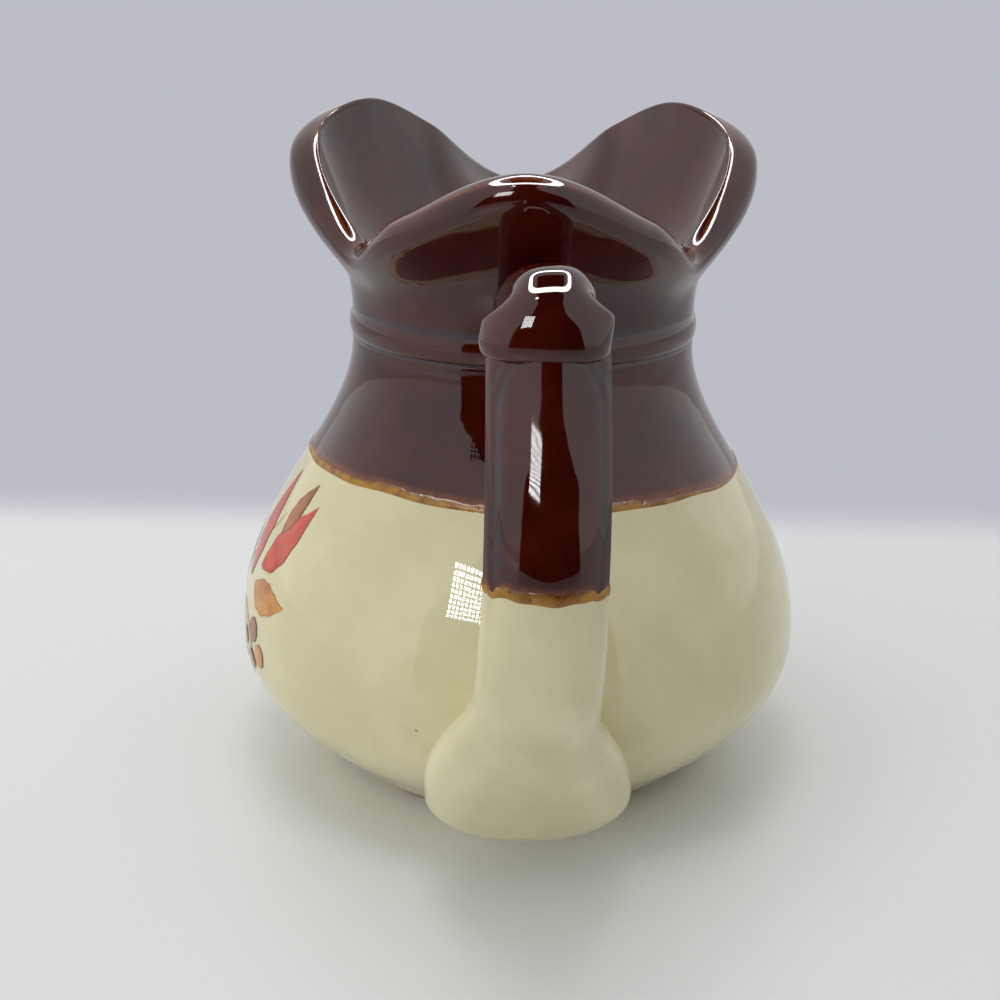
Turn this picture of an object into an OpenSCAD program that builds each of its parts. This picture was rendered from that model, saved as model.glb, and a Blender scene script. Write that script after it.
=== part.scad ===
// Two-tone stoneware pitcher with a winged pouring mouth and a strap handle.
// Millimetres, +Z up. The origin is the centre of the resting plane, on the axis of the body.
// The spout faces +Y and the handle faces -Y.

/* [Body] */
// Diameter of the belly at its widest
belly_d = 127; // [118:1:134]
// Height of the widest ring of the belly
belly_z = 30; // [27:1:34]
// Height over which the side stays full above that ring
belly_rise = 28; // [22:1:32]
// Height over which the side stays full below that ring
belly_drop = 13; // [10:1:16]
// Outer diameter of the foot ring
foot_d = 84; // [78:1:86]
// Height of the foot ring
foot_h = 2.5; // [2:0.5:4]
// Width of the face that the foot ring stands on
foot_w = 6; // [4:0.5:8]
// Diameter of the underside of the belly
base_d = 89; // [87:1:96]
// How far the curve above the foot runs out before it turns up
foot_spread = 9; // [6:1:11]
// Outer diameter of the neck
neck_d = 74.5; // [70:0.5:78]
// Height at which the shoulder has become the upright neck
neck_z = 96; // [92:1:98]
// Height over which the shoulder sweeps into the neck
neck_sweep = 21; // [16:1:25]
// Thickness of the wall
wall = 5; // [4:0.5:6]
// Thickness of the floor
floor_t = 5; // [4:0.5:7]

/* [Glaze] */
// Height of the dip line, where the dark glaze ends
dip_z = 72; // [66:1:78]
// Height of the dip line down the middle of the handle
handle_dip_z = 76; // [70:1:80]
// Width of the ochre roll of glaze along the dip line
roll_w = 1.8; // [1.2:0.1:2.6]
// How far that roll stands out
roll_out = 0.4; // [0.2:0.1:0.8]

/* [Neck bead] */
// Height of the raised band round the neck
bead_h = 5.5; // [4:0.5:7]
// How far the band stands out
bead_out = 0.6; // [0.5:0.1:1.5]
// Plain neck below and above the band
bead_gap = 0.5; // [0.3:0.1:1]

/* [Mouth] */
// Height of the lip over the handle, above the collar
rear_h = 32; // [29:0.5:35]
// How far that lip stands out from the neck
rear_out = 14; // [11:0.25:16]
// Outward lean of that lip
rear_lean = 34; // [28:1:38]
// Outward lean of the lip halfway from there to the notch
flank_lean = 38; // [32:1:42]
// Angle from the handle to the notch beside it
notch_a = 62; // [56:1:68]
// Height of the lip in the notch, above the collar
notch_h = 15; // [13:0.5:17]
// How far the lip stands out from the neck in the notch
notch_out = 1.75; // [0.75:0.25:2.75]
// Outward lean of the lip in the notch
notch_lean = 24; // [16:1:30]
// Angle from the handle to the widest part of a wing
wing_a = 98; // [94:1:102]
// Height of the lip there, above the collar
wing_h = 35; // [32:0.5:37]
// How far the lip stands out from the neck there
wing_out = 7.75; // [6:0.25:9]
// Outward lean of the lip there, which curls in
wing_lean = -16; // [-22:1:-8]
// Angle from the handle to the top of a lobe
lobe_a = 129; // [125:1:134]
// Height of the lobe above the collar
lobe_h = 41.5; // [38.5:0.5:45]
// How far the lip stands out from the neck at the top of the lobe
lobe_out = 7.75; // [6:0.25:9.5]
// Outward lean of the lip there
lobe_lean = -5; // [-12:1:6]
// Height of the pouring lip above the collar
spout_h = 18.5; // [16:0.5:22]
// How far the pouring lip stands out from the neck
spout_out = 27; // [24:0.25:29]
// Outward lean of the pouring lip
spout_lean = 58; // [50:1:66]
// Thickness of the rounded lip over the handle
rear_lip_t = 8; // [6.5:0.1:9]
// Thickness of the lip in the notches and at the spout
lip_t = 6.5; // [5.5:0.1:7.5]
// Thickness of the fuller lip on the wings and lobes
lobe_lip_t = 10; // [8:0.1:10.5]

/* [Handle] */
// Angle by which the handle is set off the line of the spout
handle_turn = 2.8; // [-4:0.1:4]
// How far the thumb rest reaches beyond the belly
thumb_beyond = 28; // [24:0.5:32]
// Height of the thumb rest above the collar
thumb_rise = 21.9; // [18.5:0.1:24]
// Depth from its top to its lower edge
thumb_h = 14.2; // [12.6:0.2:16]
// Width of its flat top
thumb_top_w = 10; // [8:0.2:12]
// Width of its flared lower edge
thumb_w = 21.2; // [19:0.2:23]
// How far that edge overhangs the strap
thumb_proud = 1; // [0.5:0.1:1.5]
// Rounding of that edge
thumb_edge = 1.2; // [0.8:0.1:2]
// Width of the arm
arm_w = 14.5; // [13:0.5:17]
// Thickness of the arm
arm_t = 10.5; // [9:0.5:12]
// Height of the middle of the arm above the foot of the collar, where it leaves it
arm_rise = 7.5; // [7:0.5:9.5]
// Width of the strap
strap_w = 20; // [18:0.2:22]
// Thickness of the strap
strap_t = 11; // [9:0.5:12]
// How far the strap bows out beyond the thumb rest
strap_bow = 13; // [10:0.5:16]
// How far below the thumb rest it stands out furthest
bow_drop = 35.5; // [32:0.5:39]
// Width of the rib along each edge of the strap
rib_w = 2.4; // [1.8:0.1:3]
// Depth of the groove beside each rib
groove_d = 0.7; // [0.3:0.1:1]
// Height of the arch in which the grooves close below the thumb rest
arch_h = 9; // [6:0.5:12]
// Width of the terminal pad
pad_w = 39.6; // [36:0.2:42]
// How far the pad stands out from its middle line
pad_out = 7.5; // [6:0.5:9]
// Height of the lower end of the pad
pad_z = 10; // [8:0.5:12]
// How far the pad's middle line lies within the widest ring of the belly at its lower end
pad_back = 2; // [0.5:0.5:3.5]
// Sideways drift of the grip on its way to the pad
pad_set = -0.7; // [-3:0.1:3]

/* [Hidden] */

DARK = [0.22, 0.06, 0.04];
PALE = [0.87, 0.84, 0.69];
OCHRE = [0.66, 0.44, 0.13];
BISQUE = [0.80, 0.72, 0.58];
$fn = 96;

foot_r = foot_d / 2;
base_r = base_d / 2;
belly_r = belly_d / 2;
neck_r = neck_d / 2;
floor_z = foot_h + floor_t;
bead_z = neck_z + bead_gap;
collar_z = bead_z + bead_h + bead_gap;
thumb_reach = belly_r + thumb_beyond;
thumb_z = collar_z + thumb_rise;
arm_z = collar_z + arm_rise;
pad_reach = belly_r - pad_back;

// Curves: a cubic Bezier, its direction, and the point a given depth to the left of it
function bezier(p, t) =
    pow(1 - t, 3) * p[0] + 3 * t * pow(1 - t, 2) * p[1]
    + 3 * t * t * (1 - t) * p[2] + pow(t, 3) * p[3];
function unit(v) = v / norm(v);
function heading(p, t) = unit(
    pow(1 - t, 2) * (p[1] - p[0]) + 2 * t * (1 - t) * (p[2] - p[1]) + t * t * (p[3] - p[2])
);
function left_of(v) = [-v[1], v[0]];
function skin(p, t, depth) = bezier(p, t) + depth * left_of(heading(p, t));
function mix(a, b, t) = a + (b - a) * t;
function steps(a, b, n) = [for (i = [0:n]) mix(a, b, i / n)];
function within(x) = max(0, min(1, x));
function ease(x) = let (y = within(x)) y * y * (3 - 2 * y);

// Where along a rising curve, at a given depth from it, a height is reached
halvings = 30;
function t_at(p, depth, z, lo = 0, hi = 1, left = halvings) =
    let (mid = (lo + hi) / 2)
    left == 0 ? mid :
    skin(p, mid, depth)[1] < z ? t_at(p, depth, z, mid, hi, left - 1) :
    t_at(p, depth, z, lo, mid, left - 1);

// Outline of the body: the bowl from the foot to the widest ring, then the sweep up to the neck
BOWL = [
    [base_r, foot_h],
    [base_r + foot_spread, foot_h + foot_spread],
    [belly_r, belly_z - belly_drop],
    [belly_r, belly_z],
];
SWEEP = [
    [belly_r, belly_z],
    [belly_r, belly_z + belly_rise],
    [neck_r, neck_z - neck_sweep],
    [neck_r, neck_z],
];
bowl_steps = 14;
sweep_steps = 14;
dip_t = t_at(SWEEP, 0, dip_z);
dip_lo = t_at(SWEEP, 0, dip_z - roll_w / 2);
dip_hi = t_at(SWEEP, 0, dip_z + roll_w / 2);
floor_at = t_at(BOWL, wall, floor_z);
BELLY_T = concat(steps(0, dip_lo, sweep_steps), [dip_t]);
SHOULDER_T = concat([dip_t], steps(dip_hi, 1, sweep_steps));

function along(p, ts, depth) = [for (t = ts) skin(p, t, depth)];
function reversed(list) = [for (i = [len(list) - 1:-1:0]) list[i]];
function tail(list) = [for (i = [1:len(list) - 1]) list[i]];

module body_core() {
    rotate_extrude()
        polygon(concat(
            [[0, foot_h]],
            along(BOWL, steps(0, 1, bowl_steps), 0),
            tail(along(SWEEP, concat(BELLY_T, tail(SHOULDER_T)), 0)),
            [[neck_r, collar_z], [0, collar_z]]
        ));
}

module foot_ring() {
    color(BISQUE)
        rotate_extrude()
            translate([foot_r - foot_w, 0])
                square([foot_w, foot_h]);
}

module belly() {
    outside = concat(along(BOWL, steps(0, 1, bowl_steps), 0), tail(along(SWEEP, BELLY_T, 0)));
    inside = concat(
        along(BOWL, steps(floor_at, 1, bowl_steps), wall),
        tail(along(SWEEP, BELLY_T, wall))
    );
    color(PALE)
        rotate_extrude()
            polygon(concat([[0, foot_h]], outside, reversed(inside), [[0, floor_z]]));
}

module shoulder() {
    outside = concat(along(SWEEP, SHOULDER_T, 0), [[neck_r, collar_z]]);
    inside = concat(along(SWEEP, SHOULDER_T, wall), [[neck_r - wall, collar_z]]);
    color(DARK)
        rotate_extrude()
            polygon(concat(outside, reversed(inside)));
}

// A band whose outer face is a shallow arc
module neck_bead() {
    arc_steps = 10;
    arc = [for (t = steps(0, 1, arc_steps)) [neck_r + bead_out * sin(180 * t), bead_z + bead_h * t]];
    color(DARK)
        rotate_extrude()
            polygon(arc);
}

// A rounded roll that lies on the outline of the body, across the dip line
module body_glaze_roll() {
    arc_steps = 6;
    inner = along(SWEEP, [dip_lo, dip_t, dip_hi], 0);
    outer = [
        for (i = [1:arc_steps - 1])
            skin(SWEEP, mix(dip_hi, dip_lo, i / arc_steps), -roll_out * sin(180 * i / arc_steps))
    ];
    color(OCHRE)
        rotate_extrude()
            polygon(concat(inner, outer));
}

// The lip from the back to the spout, as rows of angle from the handle, reach beyond the neck,
// height above the collar, lean, thickness and how straight the wall below it rises
rear_spread = 0.6;
rear_swell = 0.45;
spout_swell = 0.7;
spout_taper = 0.3;
rear_rise = 0.46;
lip_rise = 0.41;
wing_rise = 0.72;
side_rise = mix(lip_rise, wing_rise, 0.5);
RIM = [
    [0, rear_out, rear_h, rear_lean, rear_lip_t, rear_rise],
    [
        notch_a / 2, mix(notch_out, rear_out, rear_spread), mix(notch_h, rear_h, rear_swell),
        flank_lean, rear_lip_t, rear_rise
    ],
    [notch_a, notch_out, notch_h, notch_lean, lip_t, side_rise],
    [wing_a, wing_out, wing_h, wing_lean, lobe_lip_t, wing_rise],
    [lobe_a, lobe_out, lobe_h, lobe_lean, lobe_lip_t, wing_rise],
    [
        mix(lobe_a, 180, 0.5), mix(lobe_out, spout_out, spout_taper), mix(spout_h, lobe_h, spout_swell),
        mix(lobe_lean, spout_lean, 0.5), mix(lobe_lip_t, lip_t, 0.5), side_rise
    ],
    [180, spout_out, spout_h, spout_lean, lip_t, lip_rise],
];
RIM_LAST = len(RIM) - 1;

function rim_slope(i) =
    i == 0 || i == RIM_LAST ? [1, 0, 0, 0, 0, 0] :
    (RIM[i + 1] - RIM[i - 1]) / (RIM[i + 1][0] - RIM[i - 1][0]);
function rim_span(a, i = 0) = i < RIM_LAST - 1 && a > RIM[i + 1][0] ? rim_span(a, i + 1) : i;
function rim(a) =
    let (
        i = rim_span(a),
        h = RIM[i + 1][0] - RIM[i][0],
        t = (a - RIM[i][0]) / h
    )
    (1 + 2 * t) * pow(1 - t, 2) * RIM[i] + t * pow(1 - t, 2) * h * rim_slope(i)
    + t * t * (3 - 2 * t) * RIM[i + 1] - t * t * (1 - t) * h * rim_slope(i + 1);

// One radial section of the mouth: up the inside, over the rounded lip and down the outside
mouth_steps = 8;
lip_steps = 5;
mouth_pull = 0.36;
function lean_of(a) = [sin(a), cos(a)];
function mouth_line(row) =
    let (
        base = [neck_r - wall / 2, collar_z],
        up = lean_of(row[3]),
        top = [neck_r + row[1], collar_z + row[2]] - up * row[4] / 2,
        run = norm(top - base)
    )
    [base, base + [0, run * row[5]], top - up * run * mouth_pull, top];
function mouth_wall(row, side) =
    let (line = mouth_line(row))
    [for (t = steps(0, 1, mouth_steps)) skin(line, t, side * mix(wall, row[4], t * t) / 2)];
function mouth_lip(row) =
    let (line = mouth_line(row), up = heading(line, 1), side = left_of(up))
    [
        for (i = [1:lip_steps - 1])
            let (a = 180 * i / lip_steps)
            line[3] + row[4] / 2 * (side * cos(a) + up * sin(a))
    ];
function mouth_section(row) = concat(mouth_wall(row, 1), mouth_lip(row), reversed(mouth_wall(row, -1)));
function folded(a) = let (b = abs(a)) b > 180 ? 360 - b : b;
function turned(a, points) = [for (p = points) [p[0] * sin(a), -p[0] * cos(a), p[1]]];

// A solid through closed rings of points, which run anticlockwise seen from its far end
module loft(rings) {
    n = len(rings[0]);
    last = len(rings) - 1;
    sides = [
        for (i = [0:last - 1], j = [0:n - 1])
            let (k = (j + 1) % n, a = i * n, b = a + n)
            each [[a + j, b + j, b + k], [a + j, b + k, a + k]]
    ];
    caps = [[for (j = [0:n - 1]) j], [for (j = [n - 1:-1:0]) last * n + j]];
    polyhedron(points = [for (ring = rings) each ring], faces = concat(sides, caps));
}

rear_columns = 40;
spout_columns = 76;
function mouth_rings(from, to, columns) =
    [for (a = steps(from, to, columns)) turned(a, mouth_section(rim(folded(a))))];

module rear_lip() {
    color(DARK)
        loft(mouth_rings(-notch_a, notch_a, rear_columns));
}

module spout() {
    color(DARK)
        loft(mouth_rings(notch_a, 360 - notch_a, spout_columns));
}

// The collar behind the arm, filled nearly to the axis, which the root of the arm is cut to fit
core_r = 1;
module collar_core() {
    half = rear_columns / 4;
    rings = [
        for (i = [-half:half])
            let (
                a = i * 2 * notch_a / rear_columns,
                outside = mouth_wall(rim(abs(a)), -1),
                top = outside[mouth_steps]
            )
            turned(a, concat([[core_r, top[1]]], reversed(outside), [[core_r, collar_z]]))
    ];
    loft(rings);
}

// The handle is drawn in the plane x = 0 and then turned. Its middle line is given by reach from
// the axis and height.
module turn_handle() {
    rotate([0, 0, handle_turn])
        children();
}
thumb_out = strap_t / 2 + thumb_proud;
bend_r = thumb_h - thumb_edge - thumb_out;
BEND = [thumb_reach - thumb_out - bend_r, thumb_z - thumb_out - bend_r];
GRIP_TOP = BEND + [bend_r, -thumb_edge];
GRIP_FAR = [thumb_reach + strap_bow - strap_t / 2, GRIP_TOP[1] - bow_drop];
bow_start = 7.5;
bow_run = 17;
tail_drop = 23;
pad_run = 21;
pad_slope = 6.5;
BOW = [GRIP_TOP, GRIP_TOP - [0, bow_start], GRIP_FAR + [0, bow_run], GRIP_FAR];
TAIL = [
    GRIP_FAR,
    GRIP_FAR - [0, tail_drop],
    [pad_reach + pad_slope, pad_z + pad_run],
    [pad_reach, pad_z],
];
ARM = [
    [neck_r - wall / 2, arm_z],
    [neck_r + wall, arm_z],
    BEND + [-2 * bend_r, bend_r],
    BEND + [0, bend_r],
];

// One cross-section of the handle, wide side first, anticlockwise seen from the lower end.
// half is the half width, out and in the depths on either side of the middle line, crown the
// share of the width left at the outer face, groove the offset and depth of the two grooves, and
// power the squareness of the edges. FLANK lists how far out the points on each edge lie.
strap_power = 2.4;
thumb_power = 5;
back_steps = 10;
groove_near = 0.6;
FLANK = [0, 0.3, 0.55, 0.75];
function bow(x, depth, power) = depth * pow(max(0, 1 - pow(abs(x), power)), 1 / power);
function half_face(half, out, crown, groove, power) =
    let (
        flank = [for (n = FLANK) bow(n, half, power)],
        edge = flank[len(flank) - 1],
        mid = groove[0],
        near = max(groove_near * mid, mid - rib_w / 2),
        far = min(mid + rib_w / 2, (mid + edge) / 2)
    )
    [
        for (x = concat(flank, [(edge + far) / 2, far, mid, near, near / 2]))
            let (n = bow(x / half, out, power))
            [x * mix(1, crown, ease(n / out)), x == mid ? n - groove[1] : n]
    ];
function half_back(half, in) = [
    for (i = [1:back_steps - 1])
        let (x = -cos(180 * i / back_steps))
        [x * half, -bow(x, in, strap_power)]
];
function handle_section(half, out, in, crown, groove, power) =
    let (right = half_face(half, out, crown, groove, power))
    concat(
        right,
        [[0, out]],
        reversed([for (p = right) [-p[0], p[1]]]),
        half_back(half, in)
    );
// A section set at a point of the middle line, square to it
function set_at(point, dir, section) =
    let (n = left_of(dir))
    [for (p = section) [p[0], -(point[0] + n[0] * p[1]), point[1] + n[1] * p[1]]];
function set_on(line, t, section) = set_at(bezier(line, t), heading(line, t), section);

arm_steps = 8;
bend_steps = 12;
edge_steps = 3;
edge_share = 0.7;
root_crown = 0.9;
arm_crown = thumb_top_w / arm_w;
function arm_section(t) =
    handle_section(
        arm_w / 2, arm_t / 2, arm_t / 2, mix(root_crown, arm_crown, t), [arm_w / 4, 0],
        mix(strap_power, thumb_power, t)
    );
module handle_arm() {
    color(DARK)
        difference() {
            turn_handle()
                loft([
                    for (t = steps(0, 1, arm_steps))
                        set_on(ARM, t, arm_section(t))
                ]);
            collar_core();
        }
}

// The knuckle: the arm turns down through a quarter circle and flares into a bell
top_rise = 3;
bell_power = 2.7;
ear_from = 0.35;
ear_to = 0.65;
function thumb_section(t, trim = 0) =
    let (
        half = mix(arm_w, thumb_w, ease((t - ear_from) / (ear_to - ear_from))) / 2 - trim,
        out = mix(arm_t / 2, thumb_out, sin(90 * min(1, top_rise * t))) - trim,
        crown = mix(arm_crown, 1, pow(t, bell_power))
    )
    handle_section(half, out, mix(arm_t, strap_t, t) / 2, crown, [half / 2, 0], thumb_power);
function edge_ring(a) =
    let (trim = thumb_edge * (1 - cos(a)) * edge_share)
    set_at(BEND + [bend_r, -thumb_edge * sin(a)], [0, -1], thumb_section(1, trim));
module thumb_rest() {
    color(DARK)
        turn_handle()
            loft(concat(
                [
                    for (t = steps(0, 1, bend_steps))
                        let (a = 90 * t)
                        set_at(BEND + bend_r * [sin(a), cos(a)], [cos(a), -sin(a)], thumb_section(t))
                ],
                [for (a = tail(steps(0, 90, edge_steps))) edge_ring(a)]
            ));
}

// The grip: a strap whose grooves close in an arch at the top, and which bows out and then flares
// into the pad. Along it, t runs from 0 at the thumb rest to 1 at the end of the pad.
bow_share = 0.36;
set_by = 0.6;
flare_from = 0.49;
pad_at = 0.875;
grip_split = 0.72;
groove_end = 0.66;
pad_in = 15;
pad_round = 0.4;
pad_tip = 0.045;
groove_fade = 4;
arch_apex = 0.15;
function flare(t) = let (x = within((t - flare_from) / (pad_at - flare_from))) pow(sin(90 * x * x), 2);
function pad_end(t) = let (x = within((t - pad_at) / (1 - pad_at))) max(pad_tip, sqrt(1 - x * x));
function on_grip(t) = t < bow_share ? [BOW, t / bow_share] : [TAIL, (t - bow_share) / (1 - bow_share)];
function grip_z(t) = let (at = on_grip(t)) bezier(at[0], at[1])[1];
function set_on_grip(t, section) = let (at = on_grip(t)) set_on(at[0], at[1], section);
function arch(t) = let (x = within((GRIP_TOP[1] - grip_z(t)) / arch_h)) sqrt(x * (2 - x));
function grip_section(t, swell = 0) =
    let (
        half = mix(strap_w, pad_w, flare(t)) / 2 * pad_end(t) + swell,
        out = mix(strap_t / 2, pad_out, flare(t)) * pow(pad_end(t), pad_round) + swell,
        in = mix(strap_t / 2, pad_in, flare(t)) + swell,
        depth = groove_d * max(0, 1 - pow(t / groove_end, groove_fade)),
        offset = max(arch_apex * half, (half - rib_w) * arch(t)),
        section = handle_section(half, out, in, 1, [offset, depth], strap_power)
    )
    [for (p = section) p + [pad_set * ease(t / set_by), 0]];
function grip_rings(ts) = [for (t = ts) set_on_grip(t, grip_section(t))];

function t_down(z, lo = 0, hi = 1, left = halvings) =
    let (mid = (lo + hi) / 2)
    left == 0 ? mid :
    grip_z(mid) > z ? t_down(z, mid, hi, left - 1) : t_down(z, lo, mid, left - 1);
grip_dip = t_down(handle_dip_z);
grip_hi = t_down(handle_dip_z + roll_w / 2);
grip_lo = t_down(handle_dip_z - roll_w / 2);
arch_t = t_down(GRIP_TOP[1] - arch_h);
arch_steps = 8;
strap_steps = 10;
tail_steps = 8;
pad_steps = 18;

module handle_strap() {
    color(DARK)
        turn_handle()
            loft(grip_rings(concat(
                steps(0, arch_t, arch_steps),
                tail(steps(arch_t, grip_hi, strap_steps)),
                [grip_dip]
            )));
}

module handle_tail() {
    color(PALE)
        turn_handle()
            loft(grip_rings(concat([grip_dip], steps(grip_lo, grip_split, tail_steps))));
}

module handle_terminal() {
    color(PALE)
        difference() {
            turn_handle()
                loft(grip_rings(steps(grip_split, 1, pad_steps)));
            body_core();
        }
}

// A roll round the handle: rings swell out across the dip line and return along the strap
module handle_glaze_roll() {
    arc_steps = 4;
    loops = concat(
        [
            for (i = [0:arc_steps])
                let (t = mix(grip_hi, grip_lo, i / arc_steps))
                set_on_grip(t, grip_section(t, roll_out * sin(180 * i / arc_steps)))
        ],
        [set_on_grip(grip_dip, grip_section(grip_dip))]
    );
    n = len(loops[0]);
    m = len(loops);
    faces = [
        for (i = [0:m - 1], j = [0:n - 1])
            let (k = (j + 1) % n, a = i * n, b = ((i + 1) % m) * n)
            each [[a + j, b + j, b + k], [a + j, b + k, a + k]]
    ];
    color(OCHRE)
        turn_handle()
            polyhedron(points = [for (loop = loops) each loop], faces = faces);
}

foot_ring();
belly();
shoulder();
neck_bead();
rear_lip();
spout();
handle_arm();
thumb_rest();
handle_strap();
handle_tail();
handle_terminal();
body_glaze_roll();
handle_glaze_roll();
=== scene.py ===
"""Dresses the two-tone pottery pitcher: glazed body, winged mouth, strap handle and printed spray.

Sizes are in millimetres, as on the drawing, and become metres where a vertex is placed. The origin is
the centre of the foot, the spout faces +Y and the handle faces -Y.
"""

from __future__ import annotations

import logging
import math
from dataclasses import dataclass
from enum import Enum
from functools import cache, cached_property, partial
from typing import Callable, NamedTuple, Sequence

import bmesh
import bpy
from mathutils import Matrix, Vector, noise

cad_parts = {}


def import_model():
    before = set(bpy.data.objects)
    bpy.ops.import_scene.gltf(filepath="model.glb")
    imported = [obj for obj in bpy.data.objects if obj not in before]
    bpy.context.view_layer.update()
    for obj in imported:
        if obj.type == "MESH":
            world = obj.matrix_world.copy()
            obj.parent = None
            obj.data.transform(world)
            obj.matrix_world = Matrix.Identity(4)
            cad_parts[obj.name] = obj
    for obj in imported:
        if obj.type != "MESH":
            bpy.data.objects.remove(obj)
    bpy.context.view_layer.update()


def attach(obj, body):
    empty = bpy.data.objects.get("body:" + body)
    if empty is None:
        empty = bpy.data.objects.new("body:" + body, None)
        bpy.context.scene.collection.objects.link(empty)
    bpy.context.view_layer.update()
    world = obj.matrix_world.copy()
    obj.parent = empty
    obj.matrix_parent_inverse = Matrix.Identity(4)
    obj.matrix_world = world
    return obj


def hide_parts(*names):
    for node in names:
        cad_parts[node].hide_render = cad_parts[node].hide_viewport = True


LOG = logging.getLogger("pitcher")
MM = 0.001
BODY = "root"
COAT = "coat"


class Slot(Enum):
    """The material slots of the record."""

    DARK = "dark_glaze"
    PALE = "pale_glaze"
    OCHRE = "ochre_glaze"
    CLAY = "bare_clay"


class Closing(Enum):
    """How a pulled tube ends: its last ring meets its first, or each end is filled or left open."""

    LOOP = "loop"
    ENDS = "ends"
    OPEN = "open"


class Spot(NamedTuple):
    """A place on a surface in millimetres, and how the glaze lies there.

    A coat above 0 is thin, as on a crest, and one below 0 has pooled, as in a crease.
    """

    x: float
    y: float
    z: float
    coat: float = 0.0


Ring = Callable[[float], Spot]
Pair = tuple[float, float]
Wave = tuple[float, int, float]


def mix(a: float, b: float, t: float) -> float:
    """The value a share t of the way from a to b."""
    return a + (b - a) * t


def within(x: float) -> float:
    """x held between 0 and 1."""
    return max(0.0, min(1.0, x))


def ease(x: float) -> float:
    """A smooth step from 0 to 1."""
    y = within(x)
    return y * y * (3 - 2 * y)


def bump(x: float, width: float) -> float:
    """A smooth hump of height 1 at 0."""
    return math.exp(-((x / width) ** 2))


def steps(a: float, b: float, count: int) -> list[float]:
    """count + 1 even values from a to b."""
    return [mix(a, b, i / count) for i in range(count + 1)]


def power_of(x: float, power: float) -> float:
    """x to a power, with its sign kept."""
    return math.copysign(abs(x) ** power, x)


def ripple(angle: float, waves: Sequence[Wave]) -> float:
    """The sum of waves round a section, each with a height, a count and a start."""
    return sum(height * math.sin(count * angle + start) for height, count, start in waves)


def roll_form(out: float, sunk: float = 0.5) -> list[Pair]:
    """The shares across a roll of glaze with how far it stands out there, and its sunk underside."""
    crown = [(share, out * math.sin(math.pi * share) ** 0.7) for share in steps(0.0, 1.0, 8)]
    return crown + [(0.5, -sunk)]


@dataclass(frozen=True)
class Bezier:
    """A cubic curve in a plane of reach and height."""

    a: Pair
    b: Pair
    c: Pair
    d: Pair

    def at(self, t: float) -> Vector:
        """The point at t."""
        u = 1 - t
        a, b, c, d = (Vector(p) for p in (self.a, self.b, self.c, self.d))
        return u**3 * a + 3 * t * u * u * b + 3 * t * t * u * c + t**3 * d

    def heading(self, t: float) -> Vector:
        """The unit direction at t."""
        u = 1 - t
        a, b, c, d = (Vector(p) for p in (self.a, self.b, self.c, self.d))
        return (u * u * (b - a) + 2 * t * u * (c - b) + t * t * (d - c)).normalized()

    def skin(self, t: float, depth: float) -> Vector:
        """The point a depth to the left of the curve at t."""
        way = self.heading(t)
        return self.at(t) + depth * Vector((-way.y, way.x))


def solve(rising: Callable[[float], float], target: float, low: float, high: float) -> float:
    """Where a rising function reaches a target.

    Args:
        rising: The function.
        target: The value sought.
        low: The lowest argument.
        high: The highest argument.

    Returns:
        The argument, to well under a thousandth of the span.
    """
    for _ in range(24):
        middle = (low + high) / 2
        low, high = (middle, high) if rising(middle) < target else (low, middle)
    return (low + high) / 2


def pull(rings: Sequence[Ring], segments: int, closing: Closing) -> bmesh.types.BMesh:
    """Pulls a circle into a tube and presses each of its rings into place.

    Args:
        rings: One function a ring, from the angle round the tube to a spot.
        segments: The number of vertices in a ring.
        closing: How the tube ends.

    Returns:
        A new mesh with a coat on each vertex.
    """
    bm = bmesh.new()
    coat = bm.verts.layers.float.new(COAT)
    bmesh.ops.create_circle(bm, segments=segments, radius=1.0)
    bmesh.ops.spin(
        bm,
        geom=bm.verts[:] + bm.edges[:],
        cent=(0, 0, 0),
        axis=(0, 0, 1),
        dvec=(0, 0, 1),
        angle=0.0,
        steps=len(rings) - 1,
        use_merge=False,
        use_duplicate=False,
    )
    rims = [edge for edge in bm.edges if edge.is_boundary]
    if closing is Closing.LOOP:
        bmesh.ops.bridge_loops(bm, edges=rims)
    elif closing is Closing.ENDS:
        bmesh.ops.holes_fill(bm, edges=rims, sides=0)
    for vert in bm.verts:
        spot = rings[round(vert.co.z)](math.atan2(vert.co.y, vert.co.x))
        vert.co = Vector((spot.x, spot.y, spot.z)) * MM
        vert[coat] = spot.coat
    return bm


@dataclass(frozen=True)
class Maker:
    """Turns a mesh into a named piece of the pitcher."""

    weld: float = 0.00001
    crease_deg: float = 52.0

    def piece(
        self,
        bm: bmesh.types.BMesh,
        name: str,
        finish: bpy.types.Material,
        slot: Slot,
        nodes: Sequence[str] = (),
    ) -> None:
        """Closes, smooths and dresses a mesh, and hangs it on the frame.

        Args:
            bm: The mesh, which is freed.
            name: The piece's name.
            finish: Its material.
            slot: Not used.
            nodes: The solids that it stands for.
        """
        bmesh.ops.remove_doubles(bm, verts=bm.verts[:], dist=self.weld)
        bmesh.ops.recalc_face_normals(bm, faces=bm.faces[:])
        limit = math.radians(self.crease_deg)
        for edge in bm.edges:
            edge.smooth = edge.calc_face_angle(0.0) < limit
        for face in bm.faces:
            face.smooth = True
        mesh = bpy.data.meshes.new(name)
        bm.to_mesh(mesh)
        bm.free()
        mesh.materials.append(finish)
        piece = bpy.data.objects.new(name, mesh)
        bpy.context.scene.collection.objects.link(piece)
        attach(piece, BODY)
        if nodes:
            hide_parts(*nodes)
        LOG.info("%s: %d faces", name, len(mesh.polygons))


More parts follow.
